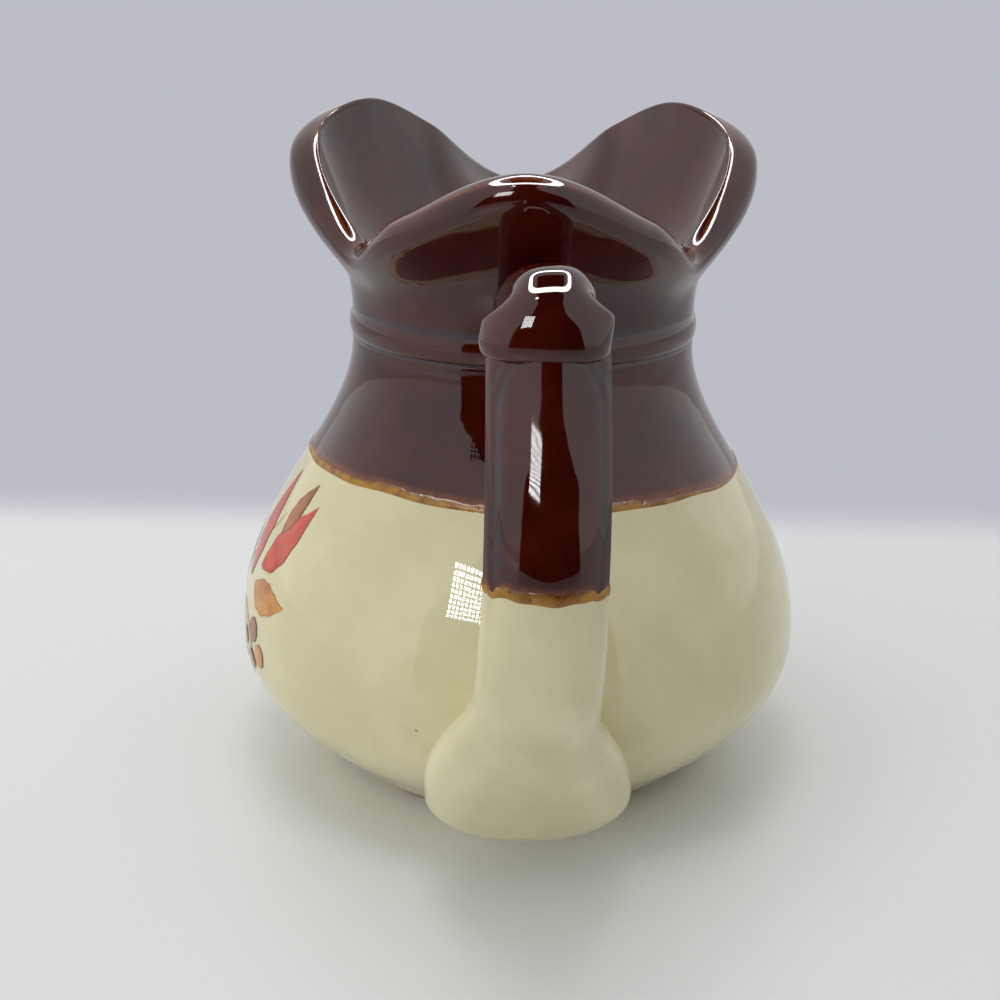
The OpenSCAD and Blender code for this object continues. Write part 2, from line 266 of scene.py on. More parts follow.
@dataclass(frozen=True)
class BodyShape:
    """The turned body: its outline, its walls and the line to which it was dipped."""

    belly_d: float = 127.0
    belly_z: float = 30.0
    belly_rise: float = 28.0
    belly_drop: float = 13.0
    foot_d: float = 84.0
    foot_h: float = 2.5
    foot_w: float = 6.0
    foot_worn: float = 0.5
    base_d: float = 89.0
    foot_spread: float = 9.0
    neck_d: float = 74.5
    neck_z: float = 96.0
    neck_sweep: float = 21.0
    wall: float = 5.0
    floor_t: float = 5.0
    bead_h: float = 5.5
    bead_out: float = 0.6
    bead_gap: float = 0.5
    bead_round: float = 0.8
    bead_crease: float = 0.22
    crease_w: float = 0.5
    split_z: float = 72.0
    dip_z: float = 67.95
    dip_r: float = 47.0
    dip_right: float = -0.0222
    dip_near: float = 0.0505
    dip_waves: tuple[Wave, ...] = ((0.16, 5, 0.4), (0.14, 9, 2.0), (0.1, 17, 1.1))
    roll_w: float = 1.3
    roll_out: float = 0.2
    roll_low: float = 0.25
    roll_least: float = 0.35
    roll_fade: float = 0.35
    roll_waves: tuple[Wave, ...] = ((0.08, 11, 0.2), (0.1, 23, 1.7), (0.07, 47, 0.6))
    wobble: float = 0.16
    wobble_size: float = 34.0

    @property
    def neck_r(self) -> float:
        """Radius of the neck."""
        return self.neck_d / 2

    @property
    def bead_z(self) -> float:
        """Height of the foot of the bead."""
        return self.neck_z + self.bead_gap

    @property
    def collar_z(self) -> float:
        """Height at which the mouth begins."""
        return self.bead_z + self.bead_h + self.bead_gap

    @cached_property
    def bowl(self) -> Bezier:
        """Outline from the foot to the widest ring."""
        foot, wide = self.base_d / 2, self.belly_d / 2
        return Bezier(
            (foot, self.foot_h),
            (foot + self.foot_spread, self.foot_h + self.foot_spread),
            (wide, self.belly_z - self.belly_drop),
            (wide, self.belly_z),
        )

    @cached_property
    def sweep(self) -> Bezier:
        """Outline from the widest ring to the neck."""
        wide = self.belly_d / 2
        return Bezier(
            (wide, self.belly_z),
            (wide, self.belly_z + self.belly_rise),
            (self.neck_r, self.neck_z - self.neck_sweep),
            (self.neck_r, self.neck_z),
        )

    def bead(self, z: float) -> float:
        """How far the bead and its creases stand out from the neck at a height."""
        low, high = z - self.bead_z, z - self.bead_z - self.bead_h
        swell = self.bead_out * math.sin(math.pi * within(low / self.bead_h)) ** self.bead_round
        return swell - self.bead_crease * (bump(low, self.crease_w) + bump(high, self.crease_w))

    def skin(self, run: float, depth: float) -> Vector:
        """A point of the wall.

        Args:
            run: 0 at the foot, 1 at the widest ring, 2 at the neck and 3 at the collar.
            depth: How far inside the outer face.

        Returns:
            Its reach and height.
        """
        if run <= 1:
            return self.bowl.skin(run, depth)
        if run <= 2:
            return self.sweep.skin(run - 1, depth)
        z = mix(self.neck_z, self.collar_z, run - 2)
        return Vector((self.neck_r - depth + (0 if depth else self.bead(z)), z))

    def run_at(self, z: float, depth: float = 0.0) -> float:
        """The run at which the wall reaches a height."""
        return solve(lambda run: self.skin(run, depth).y, z, 0.0, 3.0)

    def radius_at(self, z: float) -> float:
        """Radius of the outer face at a height."""
        return self.skin(self.run_at(z), 0.0).x

    def dip(self, azimuth: float) -> float:
        """Height of the wavy dip line at an azimuth, which rises towards the handle."""
        right, near = math.cos(azimuth), ease(0.5 - 0.5 * math.sin(azimuth))
        tilt = self.dip_r * (self.dip_right * right + self.dip_near * near)
        return self.dip_z + tilt + ripple(azimuth, self.dip_waves)

    def roll(self, azimuth: float) -> float:
        """Width of the ochre roll above the dip line at an azimuth, which thins out on one side."""
        fade = mix(1.0, self.roll_fade, ease((math.cos(azimuth) - 0.35) / 0.5))
        return max(self.roll_least, (self.roll_w + ripple(azimuth, self.roll_waves)) * fade)

    def spot(self, azimuth: float, at: Vector, coat: float = 0.0) -> Spot:
        """A spot at a reach and height, with the slight unevenness of a hand-finished wall."""
        x, y, z = at.x * math.cos(azimuth), at.x * math.sin(azimuth), at.y
        push = 1 + self.wobble * noise.noise(Vector((x, y, z)) / self.wobble_size) / max(at.x, 1.0)
        return Spot(x * push, y * push, z, coat)


@dataclass(frozen=True)
class Body:
    """The foot, belly, shoulder and neck, which are turned."""

    shape: BodyShape
    maker: Maker
    segments: int = 224
    lap: float = 0.6
    lap_end: float = -0.05
    lap_fade: float = 9.0
    bead_thins: float = 0.3
    crease_pools: float = 2.6

    def ring(self, run: float, depth: float) -> Ring:
        """A level ring of the wall."""
        return partial(self.shape.spot, at=self.shape.skin(run, depth))

    @cache
    def dip_run(self, azimuth: float, rise: float) -> float:
        """The run of the dip line at an azimuth, raised by a share of the roll."""
        return self.shape.run_at(self.shape.dip(azimuth) + rise * self.shape.roll(azimuth))

    def slid_spot(self, share: float, low: float, rise: float, coat: float, azimuth: float) -> Spot:
        """A spot of the wall between a level ring and the dip line.

        Args:
            share: How far it lies towards the dip line.
            low: The run of the level ring.
            rise: The share of the roll by which the dip line is raised.
            coat: How the glaze lies.
            azimuth: Its azimuth.

        Returns:
            The spot.
        """
        top = self.dip_run(round(azimuth, 6), rise)
        return self.shape.spot(azimuth, self.shape.skin(mix(low, top, share), 0.0), coat)

    def slid(self, share: float, low: float, rise: float, coat: float = 0.0) -> Ring:
        """A ring of such spots."""
        return partial(self.slid_spot, share, low, rise, coat)

    def foot_ring(self) -> bmesh.types.BMesh:
        """The ring that the pot stands on, with slightly worn edges."""
        shape = self.shape
        out, inner, worn = shape.foot_d / 2, shape.foot_d / 2 - shape.foot_w, shape.foot_worn
        corners = [
            (out, shape.foot_h),
            (out, worn),
            (out - worn, 0.0),
            (inner + worn, 0.0),
            (inner, worn),
            (inner, shape.foot_h),
        ]
        rings = [partial(shape.spot, at=Vector(corner)) for corner in corners]
        return pull(rings, self.segments, Closing.LOOP)

    def belly(self) -> bmesh.types.BMesh:
        """The pale bowl, up to the dip line outside and level with it inside."""
        shape = self.shape
        floor_z = shape.foot_h + shape.floor_t
        inner_top = shape.run_at(shape.split_z, shape.wall)
        inner_low = shape.run_at(floor_z, shape.wall)
        rings = [lambda azimuth: Spot(0.0, 0.0, shape.foot_h)]
        rings += [self.ring(run, 0.0) for run in steps(0.0, 1.0, 26)]
        rings += [self.slid(share, 1.0, 0.0) for share in steps(0.0, 1.0, 44)[1:]]
        rings += [self.ring(run, shape.wall) for run in steps(inner_top, inner_low, 40)]
        rings += [lambda azimuth: Spot(0.0, 0.0, floor_z)]
        return pull(rings, self.segments, Closing.OPEN)

    def shoulder(self) -> bmesh.types.BMesh:
        """The dark shoulder and neck with the bead, from the dip line to the collar."""
        shape = self.shape
        inner_top = shape.run_at(shape.split_z, shape.wall)
        rings = [self.slid(1.0, 2.0, self.lap_end, 1.0)]
        for share in steps(0.0, 1.0, 56):
            rings.append(self.slid(1 - share, 2.0, self.lap, 1 - ease(share * self.lap_fade)))
        for run in steps(2.0, 3.0, 40)[1:]:
            at = shape.skin(run, 0.0)
            swell = shape.bead(at.y) / shape.bead_out if at.y > shape.bead_z - 1 else 0.0
            coat = max(-1.0, (self.crease_pools if swell < 0 else self.bead_thins) * swell)
            rings.append(partial(shape.spot, at=at, coat=coat))
        rings += [self.ring(run, shape.wall) for run in steps(3.0, inner_top, 40)]
        return pull(rings, self.segments, Closing.LOOP)

    def roll_spot(self, share: float, out: float, azimuth: float) -> Spot:
        """A spot of the roll, a share of the way up it and so far out from the wall."""
        shape = self.shape
        rise = share * (shape.roll(azimuth) + shape.roll_low)
        run = shape.run_at(shape.dip(azimuth) - shape.roll_low + rise)
        return shape.spot(azimuth, shape.skin(run, -out), share)

    def glaze_roll(self) -> bmesh.types.BMesh:
        """The ochre roll along the dip line, ragged along its upper edge."""
        rings = [partial(self.roll_spot, *row) for row in roll_form(self.shape.roll_out)]
        return pull(rings, 2 * self.segments, Closing.LOOP)

    def build(self, glazes: dict[Slot, bpy.types.Material]) -> None:
        """Makes and dresses the turned pieces."""
        make = self.maker.piece
        make(self.foot_ring(), "foot_ring_clay", glazes[Slot.CLAY], Slot.CLAY, ["foot_ring"])
        make(self.belly(), "belly_pale", glazes[Slot.PALE], Slot.PALE, ["belly"])
        make(self.shoulder(), "shoulder_dark", glazes[Slot.DARK], Slot.DARK, ["shoulder", "neck_bead"])
        make(self.glaze_roll(), "glaze_roll_body", glazes[Slot.OCHRE], Slot.OCHRE, ["body_glaze_roll"])


class RimRow(NamedTuple):
    """The lip at one angle from the handle: its reach beyond the neck, height, lean and thickness.

    The rise is how straight the wall below it goes up.
    """

    angle: float
    out: float
    height: float
    lean: float
    thick: float
    rise: float


@dataclass(frozen=True)
class Mouth:
    """The winged mouth: a raised back over the handle, two lobes and a pouring lip."""

    shape: BodyShape
    maker: Maker
    rear_lip_t: float = 8.1
    lip_t: float = 6.5
    lobe_lip_t: float = 10.0
    pull_in: float = 0.36
    turn_deg: float = 0.93
    warp: float = -0.015
    keen_most: float = 0.86
    keen_from: Pair = (66.0, 22.0)
    keen_until: Pair = (148.0, 24.0)
    collar_pools: float = -0.7
    collar_w: float = 1.2
    crest_thins: float = 0.8
    crest_w: float = 0.06
    segments: int = 288
    wall_steps: int = 34
    lip_steps: int = 28

    @cached_property
    def rows(self) -> tuple[RimRow, ...]:
        """The lip from the back to the spout."""
        return (
            RimRow(0.0, 14.0, 31.9, 35.0, self.rear_lip_t, 0.46),
            RimRow(31.0, 9.25, 22.7, 38.0, self.rear_lip_t, 0.46),
            RimRow(61.8, 1.8, 15.0, 23.5, self.lip_t, 0.59),
            RimRow(98.2, 7.6, 35.0, -16.0, self.lobe_lip_t, 0.73),
            RimRow(128.0, 7.05, 41.4, -5.0, self.lobe_lip_t, 0.73),
            RimRow(154.0, 13.05, 34.6, 26.5, (self.lobe_lip_t + self.lip_t) / 2, 0.59),
            RimRow(180.0, 27.0, 18.8, 58.0, self.lip_t, 0.41),
        )

    def slope(self, i: int) -> list[float]:
        """Change of each value per degree at a row, level at the back and at the spout."""
        if i in (0, len(self.rows) - 1):
            return [1.0, 0.0, 0.0, 0.0, 0.0, 0.0]
        before, after = self.rows[i - 1], self.rows[i + 1]
        return [(b - a) / (after.angle - before.angle) for a, b in zip(before, after)]

    def rim(self, angle: float) -> RimRow:
        """The lip at any angle from the handle."""
        rows = self.rows
        i = next(k for k in range(len(rows) - 1) if angle <= rows[k + 1].angle or k == len(rows) - 2)
        span = rows[i + 1].angle - rows[i].angle
        t = (angle - rows[i].angle) / span
        u = 1 - t
        from_low, from_high = (1 + 2 * t) * u * u, t * t * (3 - 2 * t)
        return RimRow(
            *(
                from_low * a + t * u * u * span * m + from_high * b - t * t * u * span * n
                for a, b, m, n in zip(rows[i], rows[i + 1], self.slope(i), self.slope(i + 1))
            )
        )

    def line(self, row: RimRow) -> Bezier:
        """The middle of the wall at one angle, from the collar to the lip."""
        shape = self.shape
        lean = math.radians(row.lean)
        up = Vector((math.sin(lean), math.cos(lean)))
        base = Vector((shape.neck_r - shape.wall / 2, shape.collar_z))
        top = Vector((shape.neck_r + row.out, shape.collar_z + row.height)) - up * row.thick / 2
        run = (top - base).length
        above, below = base + Vector((0, run * row.rise)), top - up * run * self.pull_in
        return Bezier(tuple(base), tuple(above), tuple(below), tuple(top))

    def columns(self, azimuth: float) -> tuple[RimRow, Bezier]:
        """The lip and the middle of the wall at an azimuth."""
        angle = abs((math.degrees(azimuth) + 90 - self.turn_deg + 180) % 360 - 180)
        row = self.rim(angle)
        return row, self.line(row)

    def spot(self, azimuth: float, at: Vector, coat: float) -> Spot:
        """A spot of the mouth, which leans a little to one side."""
        spot = self.shape.spot(azimuth, at, coat)
        return spot._replace(x=spot.x + self.warp * (spot.z - self.shape.collar_z))

    def keen(self, row: RimRow) -> float:
        """How far the lip is drawn to a keen crest, as it is on the wings and lobes."""
        (start, rise), (end, fall) = self.keen_from, self.keen_until
        return self.keen_most * ease((row.angle - start) / rise) * (1 - ease((row.angle - end) / fall))

    def wall_spot(self, t: float, side: float, azimuth: float) -> Spot:
        """A spot of the wall, inside for a side of 1 and outside for -1.

        Args:
            t: 0 at the collar and 1 at the lip.
            side: The side of the wall.
            azimuth: Its azimuth.

        Returns:
            The spot.
        """
        row, line = self.columns(azimuth)
        at = line.skin(t, side * mix(self.shape.wall, row.thick, t * t) / 2)
        if side < 0:
            pooled = self.collar_pools * bump((at.y - self.shape.collar_z) / self.collar_w, 1.0)
            return self.spot(azimuth, at, pooled)
        crest = line.at(1.0) + row.thick / 2 * line.heading(1.0)
        slope = line.skin(0.0, self.shape.wall / 2).lerp(crest, t)
        return self.spot(azimuth, at.lerp(slope, self.keen(row) * ease(1.5 * t)), 0.0)

    def lip_spot(self, turn: float, azimuth: float) -> Spot:
        """A spot of the rounded lip, from a turn of 0 outside to 1 inside."""
        row, line = self.columns(azimuth)
        up = line.heading(1.0)
        out = Vector((up.y, -up.x))
        angle = math.pi * turn
        at = line.at(1.0) + row.thick / 2 * (math.cos(angle) * out + math.sin(angle) * up)
        rise = min(1.0, 2 * turn)
        keen = line.at(1.0) + row.thick / 2 * ((1 - rise * rise) * out + rise * up)
        thin = self.crest_thins * bump(turn - 0.5, self.crest_w)
        return self.spot(azimuth, at.lerp(keen, self.keen(row)), thin)

    def build(self, glaze: bpy.types.Material) -> None:
        """Makes and dresses the mouth."""
        rings = [partial(self.wall_spot, t, -1.0) for t in steps(0.0, 1.0, self.wall_steps)]
        rings += [partial(self.lip_spot, turn) for turn in steps(0.0, 1.0, self.lip_steps)[1:-1]]
        rings += [partial(self.wall_spot, t, 1.0) for t in steps(1.0, 0.0, self.wall_steps)]
        bm = pull(rings, self.segments, Closing.LOOP)
        self.maker.piece(bm, "mouth_dark", glaze, Slot.DARK, ["rear_lip", "spout"])


@dataclass(frozen=True)
class Section:
    """A cross-section of the handle: half width, depths outside and inside, and its form."""

    half: float
    out: float
    back: float
    crown: float = 1.0
    power: float = 2.4
    left: float = 1.0
    tuck: float = 1.0

    def at(self, turn: float) -> Pair:
        """The sideways and outward place at an angle round the section."""
        c, s = math.cos(turn), math.sin(turn)
        x = self.half * power_of(c, 2 / self.power) * (self.left if c < 0 else 1.0)
        share = power_of(s, 2 / self.power)
        if share < 0:
            return x * mix(1.0, self.tuck, ease(-share)), self.back * share
        return x * mix(1.0, self.crown, ease(share)), self.out * share


class Station(NamedTuple):
    """A section set on the handle's middle line, with its shift, its coat and its share of the twist."""

    section: Section
    point: Vector
    way: Vector
    aside: float
    coat: float
    twist: float


@dataclass(frozen=True)
class HandleShape:
    """The bent strap: an arm from the collar, a knuckle, a grip and a pad on the belly."""

    body: BodyShape
    turn_deg: float = 2.8
    thumb_beyond: float = 28.0
    thumb_rise: float = 22.4
    thumb_h: float = 14.7
    thumb_top_w: float = 12.6
    thumb_w: float = 21.2
    thumb_set: float = 0.8
    bell_set: float = -0.6
    thumb_proud: float = 1.0
    thumb_edge: float = 2.6
    arm_w: float = 14.5
    arm_t: float = 10.5
    arm_rise: float = 7.5
    arm_crown: float = 0.9
    arm_spread: float = 1.6
    spread_share: float = 0.16
    arm_power: float = 2.4
    knuckle_power: float = 2.7
    bell_power: float = 2.5
    bell_front: float = 0.92
    strap_w: float = 20.0
    strap_t: float = 11.0
    strap_bow: float = 13.0
    bow_drop: float = 35.5
    bow_share: float = 0.36
    bow_pull: Pair = (8.7, 14.6)
    bow_end: float = 11.8
    tail_start: float = 23.0
    tail_pull: Pair = (6.5, 21.0)
    twist_deg: float = -7.0
    arm_twist: float = 0.6
    dome_r: float = 12.5
    rib_w: float = 1.7
    rib_rise: float = 0.14
    groove_d: float = 0.2
    groove_set: float = 0.35
    arch_h: float = 9.0
    pad_w: float = 39.6
    pad_out: float = 7.5
    pad_in: float = 15.0
    pad_z: float = 10.0
    pad_back: float = 2.0
    pad_set: float = -0.7
    pad_at: float = 0.875
    pad_least: float = 0.045
    pad_tuck: float = 0.55
    pad_power: float = 3.2
    pad_sunk: float = 2.0
    flare_early: float = 0.1
    flare_right: Pair = (0.595, 0.88)
    flare_left: Pair = (0.57, 0.835)
    groove_end: float = 0.66
    dip_z: float = 76.0
    dip_run: float = 125.0
    dip_sag: float = 0.5
    dip_tongue: float = 0.6
    dip_waves: tuple[Wave, ...] = ((0.2, 5, 0.7), (0.14, 13, 2.0))
    roll_w: float = 1.9
    roll_out: float = 0.2
    roll_low: float = 0.003
    roll_waves: tuple[Wave, ...] = ((0.15, 9, 0.5), (0.12, 21, 1.2))

    @property
    def knuckle_out(self) -> float:
        """Depth of the knuckle outside its middle line."""
        return self.strap_t / 2 + self.thumb_proud

    @property
    def bend_r(self) -> float:
        """Radius of the knuckle's bend."""
        return self.thumb_h - self.thumb_edge - self.knuckle_out

    @cached_property
    def bend(self) -> Vector:
        """Centre of the knuckle's bend."""
        inset = self.knuckle_out + self.bend_r
        reach, height = self.body.belly_d / 2 + self.thumb_beyond, self.body.collar_z + self.thumb_rise
        return Vector((reach - inset, height - inset))

    @cached_property
    def arm(self) -> Bezier:
        """Middle line of the arm."""
        root, height = self.body.neck_r, self.body.collar_z + self.arm_rise
        top = self.bend + Vector((0, self.bend_r))
        return Bezier(
            (root - self.body.wall / 2, height),
            (root + self.body.wall, height),
            (top.x - 2 * self.bend_r, top.y),
            tuple(top),
        )

    @cached_property
    def grip_top(self) -> Vector:
        """Where the grip leaves the knuckle."""
        return self.bend + Vector((self.bend_r, -self.thumb_edge))

    @cached_property
    def grip_far(self) -> Vector:
        """Where the grip stands out furthest."""
        knuckle = self.body.belly_d / 2 + self.thumb_beyond
        return Vector((knuckle + self.strap_bow - self.strap_t / 2, self.grip_top.y - self.bow_drop))

    @cached_property
    def bow(self) -> Bezier:
        """Middle line of the grip from the knuckle to where it stands out furthest."""
        top, far, (out, down) = self.grip_top, self.grip_far, self.bow_pull
        return Bezier(tuple(top), (top.x + out, top.y - down), (far.x, far.y + self.bow_end), tuple(far))

    @cached_property
    def tail(self) -> Bezier:
        """Middle line of the grip from there to the end of the pad."""
        far, reach, (out, up) = self.grip_far, self.body.belly_d / 2 - self.pad_back, self.tail_pull
        return Bezier(
            tuple(far),
            (far.x, far.y - self.tail_start),
            (reach + out, self.pad_z + up),
            (reach, self.pad_z),
        )

    def on_grip(self, t: float) -> tuple[Vector, Vector]:
        """Point and direction of the grip's middle line, from 0 at the knuckle to 1 at the pad's end."""
        if t < self.bow_share:
            line, share = self.bow, t / self.bow_share
        else:
            line, share = self.tail, (t - self.bow_share) / (1 - self.bow_share)
        return line.at(share), line.heading(share)

    def place(
        self, point: Vector, way: Vector, x: float, n: float, coat: float = 0.0, twist: float = 0.0
    ) -> Spot:
        """A spot beside the middle line, turned with the handle.

        Args:
            point: Reach and height of the middle line.
            way: Its direction.
            x: Sideways distance.
            n: Outward distance.
            coat: How the glaze lies.
            twist: Share of the strap's twist about its middle line.

        Returns:
            The spot.
        """
        wrung = math.radians(self.twist_deg) * twist
        x, n = x * math.cos(wrung) + n * math.sin(wrung), n * math.cos(wrung) - x * math.sin(wrung)
        reach, z = point.x - way.y * n, point.y + way.x * n
        angle = math.radians(self.turn_deg)
        c, s = math.cos(angle), math.sin(angle)
        return Spot(x * c + reach * s, x * s - reach * c, z, coat)

    def arm_section(self, t: float) -> Section:
        """The arm, which spreads a little where it joins the collar."""
        spread = self.arm_spread * (1 - within(t / self.spread_share)) ** 2
        crown = mix(self.arm_crown, self.thumb_top_w / self.arm_w, t)
        half, depth = self.arm_w / 2 + spread, self.arm_t / 2 + spread
        return Section(half, depth, depth, crown, mix(self.arm_power, self.knuckle_power, t))

    def knuckle_section(self, t: float, trim: float = 0.0) -> Section:
        """The knuckle, which flares into a bell with rounded shoulders."""
        half = mix(self.arm_w, self.thumb_w, ease((t - 0.35) / 0.3)) / 2 - trim
        out = mix(self.arm_t / 2, self.knuckle_out, math.sin(math.pi / 2 * min(1.0, 3 * t))) - trim
        bell = self.bell_front * self.thumb_w
        front = mix(self.thumb_top_w, bell, within((t - 0.3) / 0.7) ** 1.4) / 2 - trim
        back = mix(self.arm_t, self.strap_t, t) / 2
        return Section(half, out, back, front / half, mix(self.knuckle_power, self.bell_power, t))

    def flare(self, t: float, span: Pair) -> float:
        """How far one side of the grip has spread into the pad: a little all along, then over a span."""
        low, high = span
        early = self.flare_early * within((t - self.bow_share) / 0.24)
        return early + (1 - self.flare_early) * ease((t - low) / (high - low))

    def pad_end(self, t: float) -> float:
        """How the pad rounds off at its end."""
        x = within((t - self.pad_at) / (1 - self.pad_at))
        return max(self.pad_least, math.sqrt(1 - x * x))

    def grip_section(self, t: float, swell: float = 0.0) -> Section:
        """The grip, from the strap to the pad."""
        flare, end = self.flare(t, self.flare_right), self.pad_end(t)
        half = mix(self.strap_w, self.pad_w, flare)
        left = mix(self.strap_w, self.pad_w, self.flare(t, self.flare_left))
        return Section(
            half / 2 * end + swell,
            mix(self.strap_t / 2, self.pad_out, flare) * end**0.4 + swell,
            mix(self.strap_t / 2, self.pad_in, flare) + swell,
            power=mix(self.arm_power, self.pad_power, flare),
            left=left / half,
            tuck=mix(1.0, self.pad_tuck, flare),
        )

    def dome(self, t: float, x: float, n: float) -> float:
        """The outward place on the strap's face: a shallow arc with a low rib near each side."""
        section = self.grip_section(t)
        arc = section.out - self.dome_r + math.sqrt(max(0.0, self.dome_r**2 - x * x))
        rib = self.rib_rise * bump(abs(x) - section.half + self.rib_w - 0.8, 0.6)
        return mix(n, min(n, arc + rib), 1 - ease((t - 0.34) / 0.2))

    def groove(self, t: float, x: float) -> Pair:
        """Depth of the grooves beside the panel, and how the glaze lies there.

        Args:
            t: The place along the grip.
            x: The sideways place.

        Returns:
            The depth in millimetres and the coat.
        """
        half = self.grip_section(t).half
        down = within((self.grip_top.y - self.on_grip(max(t, 0.0))[0].y) / self.arch_h)
        arch = math.sqrt(down * (2 - down))
        fade = max(0.0, 1 - (t / self.groove_end) ** 4) * mix(1.0, 0.55, ease((t - self.dip_t) / 0.04))
        inner = max(0.15 * half, (half - self.rib_w) * arch)
        outer = min(half - 0.9, inner + mix(2.3, 0.9, ease(down * 0.8)))
        out = abs(x - self.groove_set)
        main = bump(out - inner, 0.8) * fade
        side = 0.8 * bump(out - outer, 1.2) * (1 - ease(t / 0.3))
        rib = bump(out - (inner + 0.9), 0.35) * (1 - ease(t / 0.36))
        return self.groove_d * (main + side), 0.5 * rib - 0.6 * max(main, side)

    def grip_t(self, z: float) -> float:
        """Where the grip's middle line reaches a height."""
        return solve(lambda t: -self.on_grip(t)[0].y, -z, 0.0, 1.0)

    @cached_property
    def dip_t(self) -> float:
        """Where the handle's dip line crosses the middle line."""
        return self.grip_t(self.dip_z)

    def dip(self, turn: float) -> float:
        """Where along the grip the dark glaze ends, at an angle round the section."""
        section = self.grip_section(self.dip_t)
        x, n = section.at(turn)
        sag = self.dip_sag * max(0.0, n / section.out)
        tongue = self.dip_tongue * bump(abs(x) - (section.half - self.rib_w), 0.7) if n > 0 else 0.0
        return self.dip_t + (sag + tongue + ripple(turn, self.dip_waves)) / self.dip_run

    def roll(self, turn: float) -> float:
        """Width of the ochre roll on the handle, as a share of the grip's length."""
        section = self.grip_section(self.dip_t)
        x, n = section.at(turn)
        pinch = 1 - 0.5 * bump(abs(x) - (section.half - self.rib_w), 0.5) if n > 0 else 0.8
        return (self.roll_w + ripple(turn, self.roll_waves)) * pinch / self.dip_run


@dataclass(frozen=True)
class Handle:
    """The handle's pieces: arm with knuckle, strap, tail with pad, and the glaze roll."""

    shape: HandleShape
    maker: Maker
    segments: int = 176
    edge_trim: float = 0.4
    edge_thins: float = 0.4
    lap: float = 0.6
    lap_from: float = 0.93
    strap_from: float = -0.012
    tail_crowd: float = 1.25

    def station_spot(self, station: Station, turn: float) -> Spot:
        """A spot of the arm or the knuckle, at an angle round a station's section."""
        section, point, way, aside, coat, twist = station
        x, n = section.at(turn)
        return self.shape.place(point, way, x + aside, n, coat, twist)

    def arm_station(self, t: float) -> Station:
        """A station of the arm."""
        shape, line = self.shape, self.shape.arm
        aside, twist = shape.thumb_set * t * t, shape.arm_twist * ease((t - 0.6) / 0.4)
        return Station(shape.arm_section(t), line.at(t), line.heading(t), aside, 0.0, twist)

    def knuckle_station(self, t: float) -> Station:
        """A station of the knuckle's bend."""
        shape, angle = self.shape, math.pi / 2 * t
        point = shape.bend + shape.bend_r * Vector((math.sin(angle), math.cos(angle)))
        way, aside = Vector((math.cos(angle), -math.sin(angle))), mix(shape.thumb_set, shape.bell_set, t)
        return Station(shape.knuckle_section(t), point, way, aside, 0.0, mix(shape.arm_twist, 1.0, t))

    def edge_station(self, t: float) -> Station:
        """A station of the bell's rounded lower edge."""
        shape, angle = self.shape, math.pi / 2 * t
        section = shape.knuckle_section(1.0, self.edge_trim * shape.thumb_edge * (1 - math.cos(angle)))
        point = shape.bend + Vector((shape.bend_r, -shape.thumb_edge * math.sin(angle)))
        thin = self.edge_thins * math.sin(angle)
        return Station(section, point, Vector((0, -1)), shape.bell_set, thin, 1.0)

    def grip_spot(self, t: float, turn: float, swell: float = 0.0, coat: float = 0.0) -> Spot:
        """A spot on the grip."""
        shape = self.shape
        x, n = shape.grip_section(t, swell).at(turn)
        lie = coat
        if n > 0:
            depth, pooled = shape.groove(t, x)
            n, lie = shape.dome(t, x, n - swell) + swell - depth, pooled + coat
        x += shape.pad_set * ease(t / 0.6)
        spot = shape.place(*shape.on_grip(t), x, n, lie, 1 - ease((t - 0.5) / 0.3))
        reach = math.hypot(spot.x, spot.y)
        least = shape.body.radius_at(spot.z) - shape.pad_sunk if spot.z > shape.body.foot_h else reach
        if t > 0.5 and reach < least:
            return Spot(spot.x * least / reach, spot.y * least / reach, spot.z, lie)
        return spot

    def strap_spot(self, share: float, turn: float) -> Spot:
        """A spot of the dark strap, a share of the way down to the dip line."""
        edge = self.shape.dip(turn) - self.lap * self.shape.roll(turn)
        thin = ease((share - self.lap_from) / 0.07)
        return self.grip_spot(mix(self.strap_from, edge, share), turn, coat=thin)

    def tail_spot(self, share: float, turn: float) -> Spot:
        """A spot of the pale tail and pad, a share of the way on from the dip line."""
        return self.grip_spot(mix(self.shape.dip(turn), 1.0, share), turn)

    def roll_spot(self, share: float, out: float, turn: float) -> Spot:
        """A spot of the glaze roll, from a share of 0 at its upper edge to 1 at its lower edge."""
        low = self.shape.roll_low
        t = self.shape.dip(turn) + low - (1 - share) * (self.shape.roll(turn) + low)
        return self.grip_spot(t, turn, out, 1 - share)

    def build(self, glazes: dict[Slot, bpy.types.Material]) -> None:
        """Makes and dresses the handle's pieces."""
        make = self.maker.piece
        stations = [self.arm_station(t) for t in steps(0.0, 1.0, 40)]
        stations += [self.knuckle_station(t) for t in steps(0.0, 1.0, 36)[1:]]
        stations += [self.edge_station(t) for t in steps(0.0, 1.0, 8)[1:]]
        arm = pull([partial(self.station_spot, row) for row in stations], self.segments, Closing.ENDS)
        make(arm, "knuckle_dark", glazes[Slot.DARK], Slot.DARK, ["handle_arm", "thumb_rest"])
        rings = [partial(self.strap_spot, share) for share in steps(0.0, 1.0, 110)]
        strap = pull(rings, self.segments, Closing.ENDS)
        make(strap, "strap_dark", glazes[Slot.DARK], Slot.DARK, ["handle_strap"])
        crowded = [1 - (1 - share) ** self.tail_crowd for share in steps(0.0, 1.0, 120)]
        pad = pull([partial(self.tail_spot, share) for share in crowded], self.segments, Closing.ENDS)
        make(pad, "grip_pale", glazes[Slot.PALE], Slot.PALE, ["handle_tail", "handle_terminal"])
        rings = [partial(self.roll_spot, *row) for row in roll_form(self.shape.roll_out)]
        roll = pull(rings, 2 * self.segments, Closing.LOOP)
        make(roll, "glaze_roll_handle", glazes[Slot.OCHRE], Slot.OCHRE, ["handle_glaze_roll"])


Socket = bpy.types.NodeSocket
Value = "Socket | float | tuple"


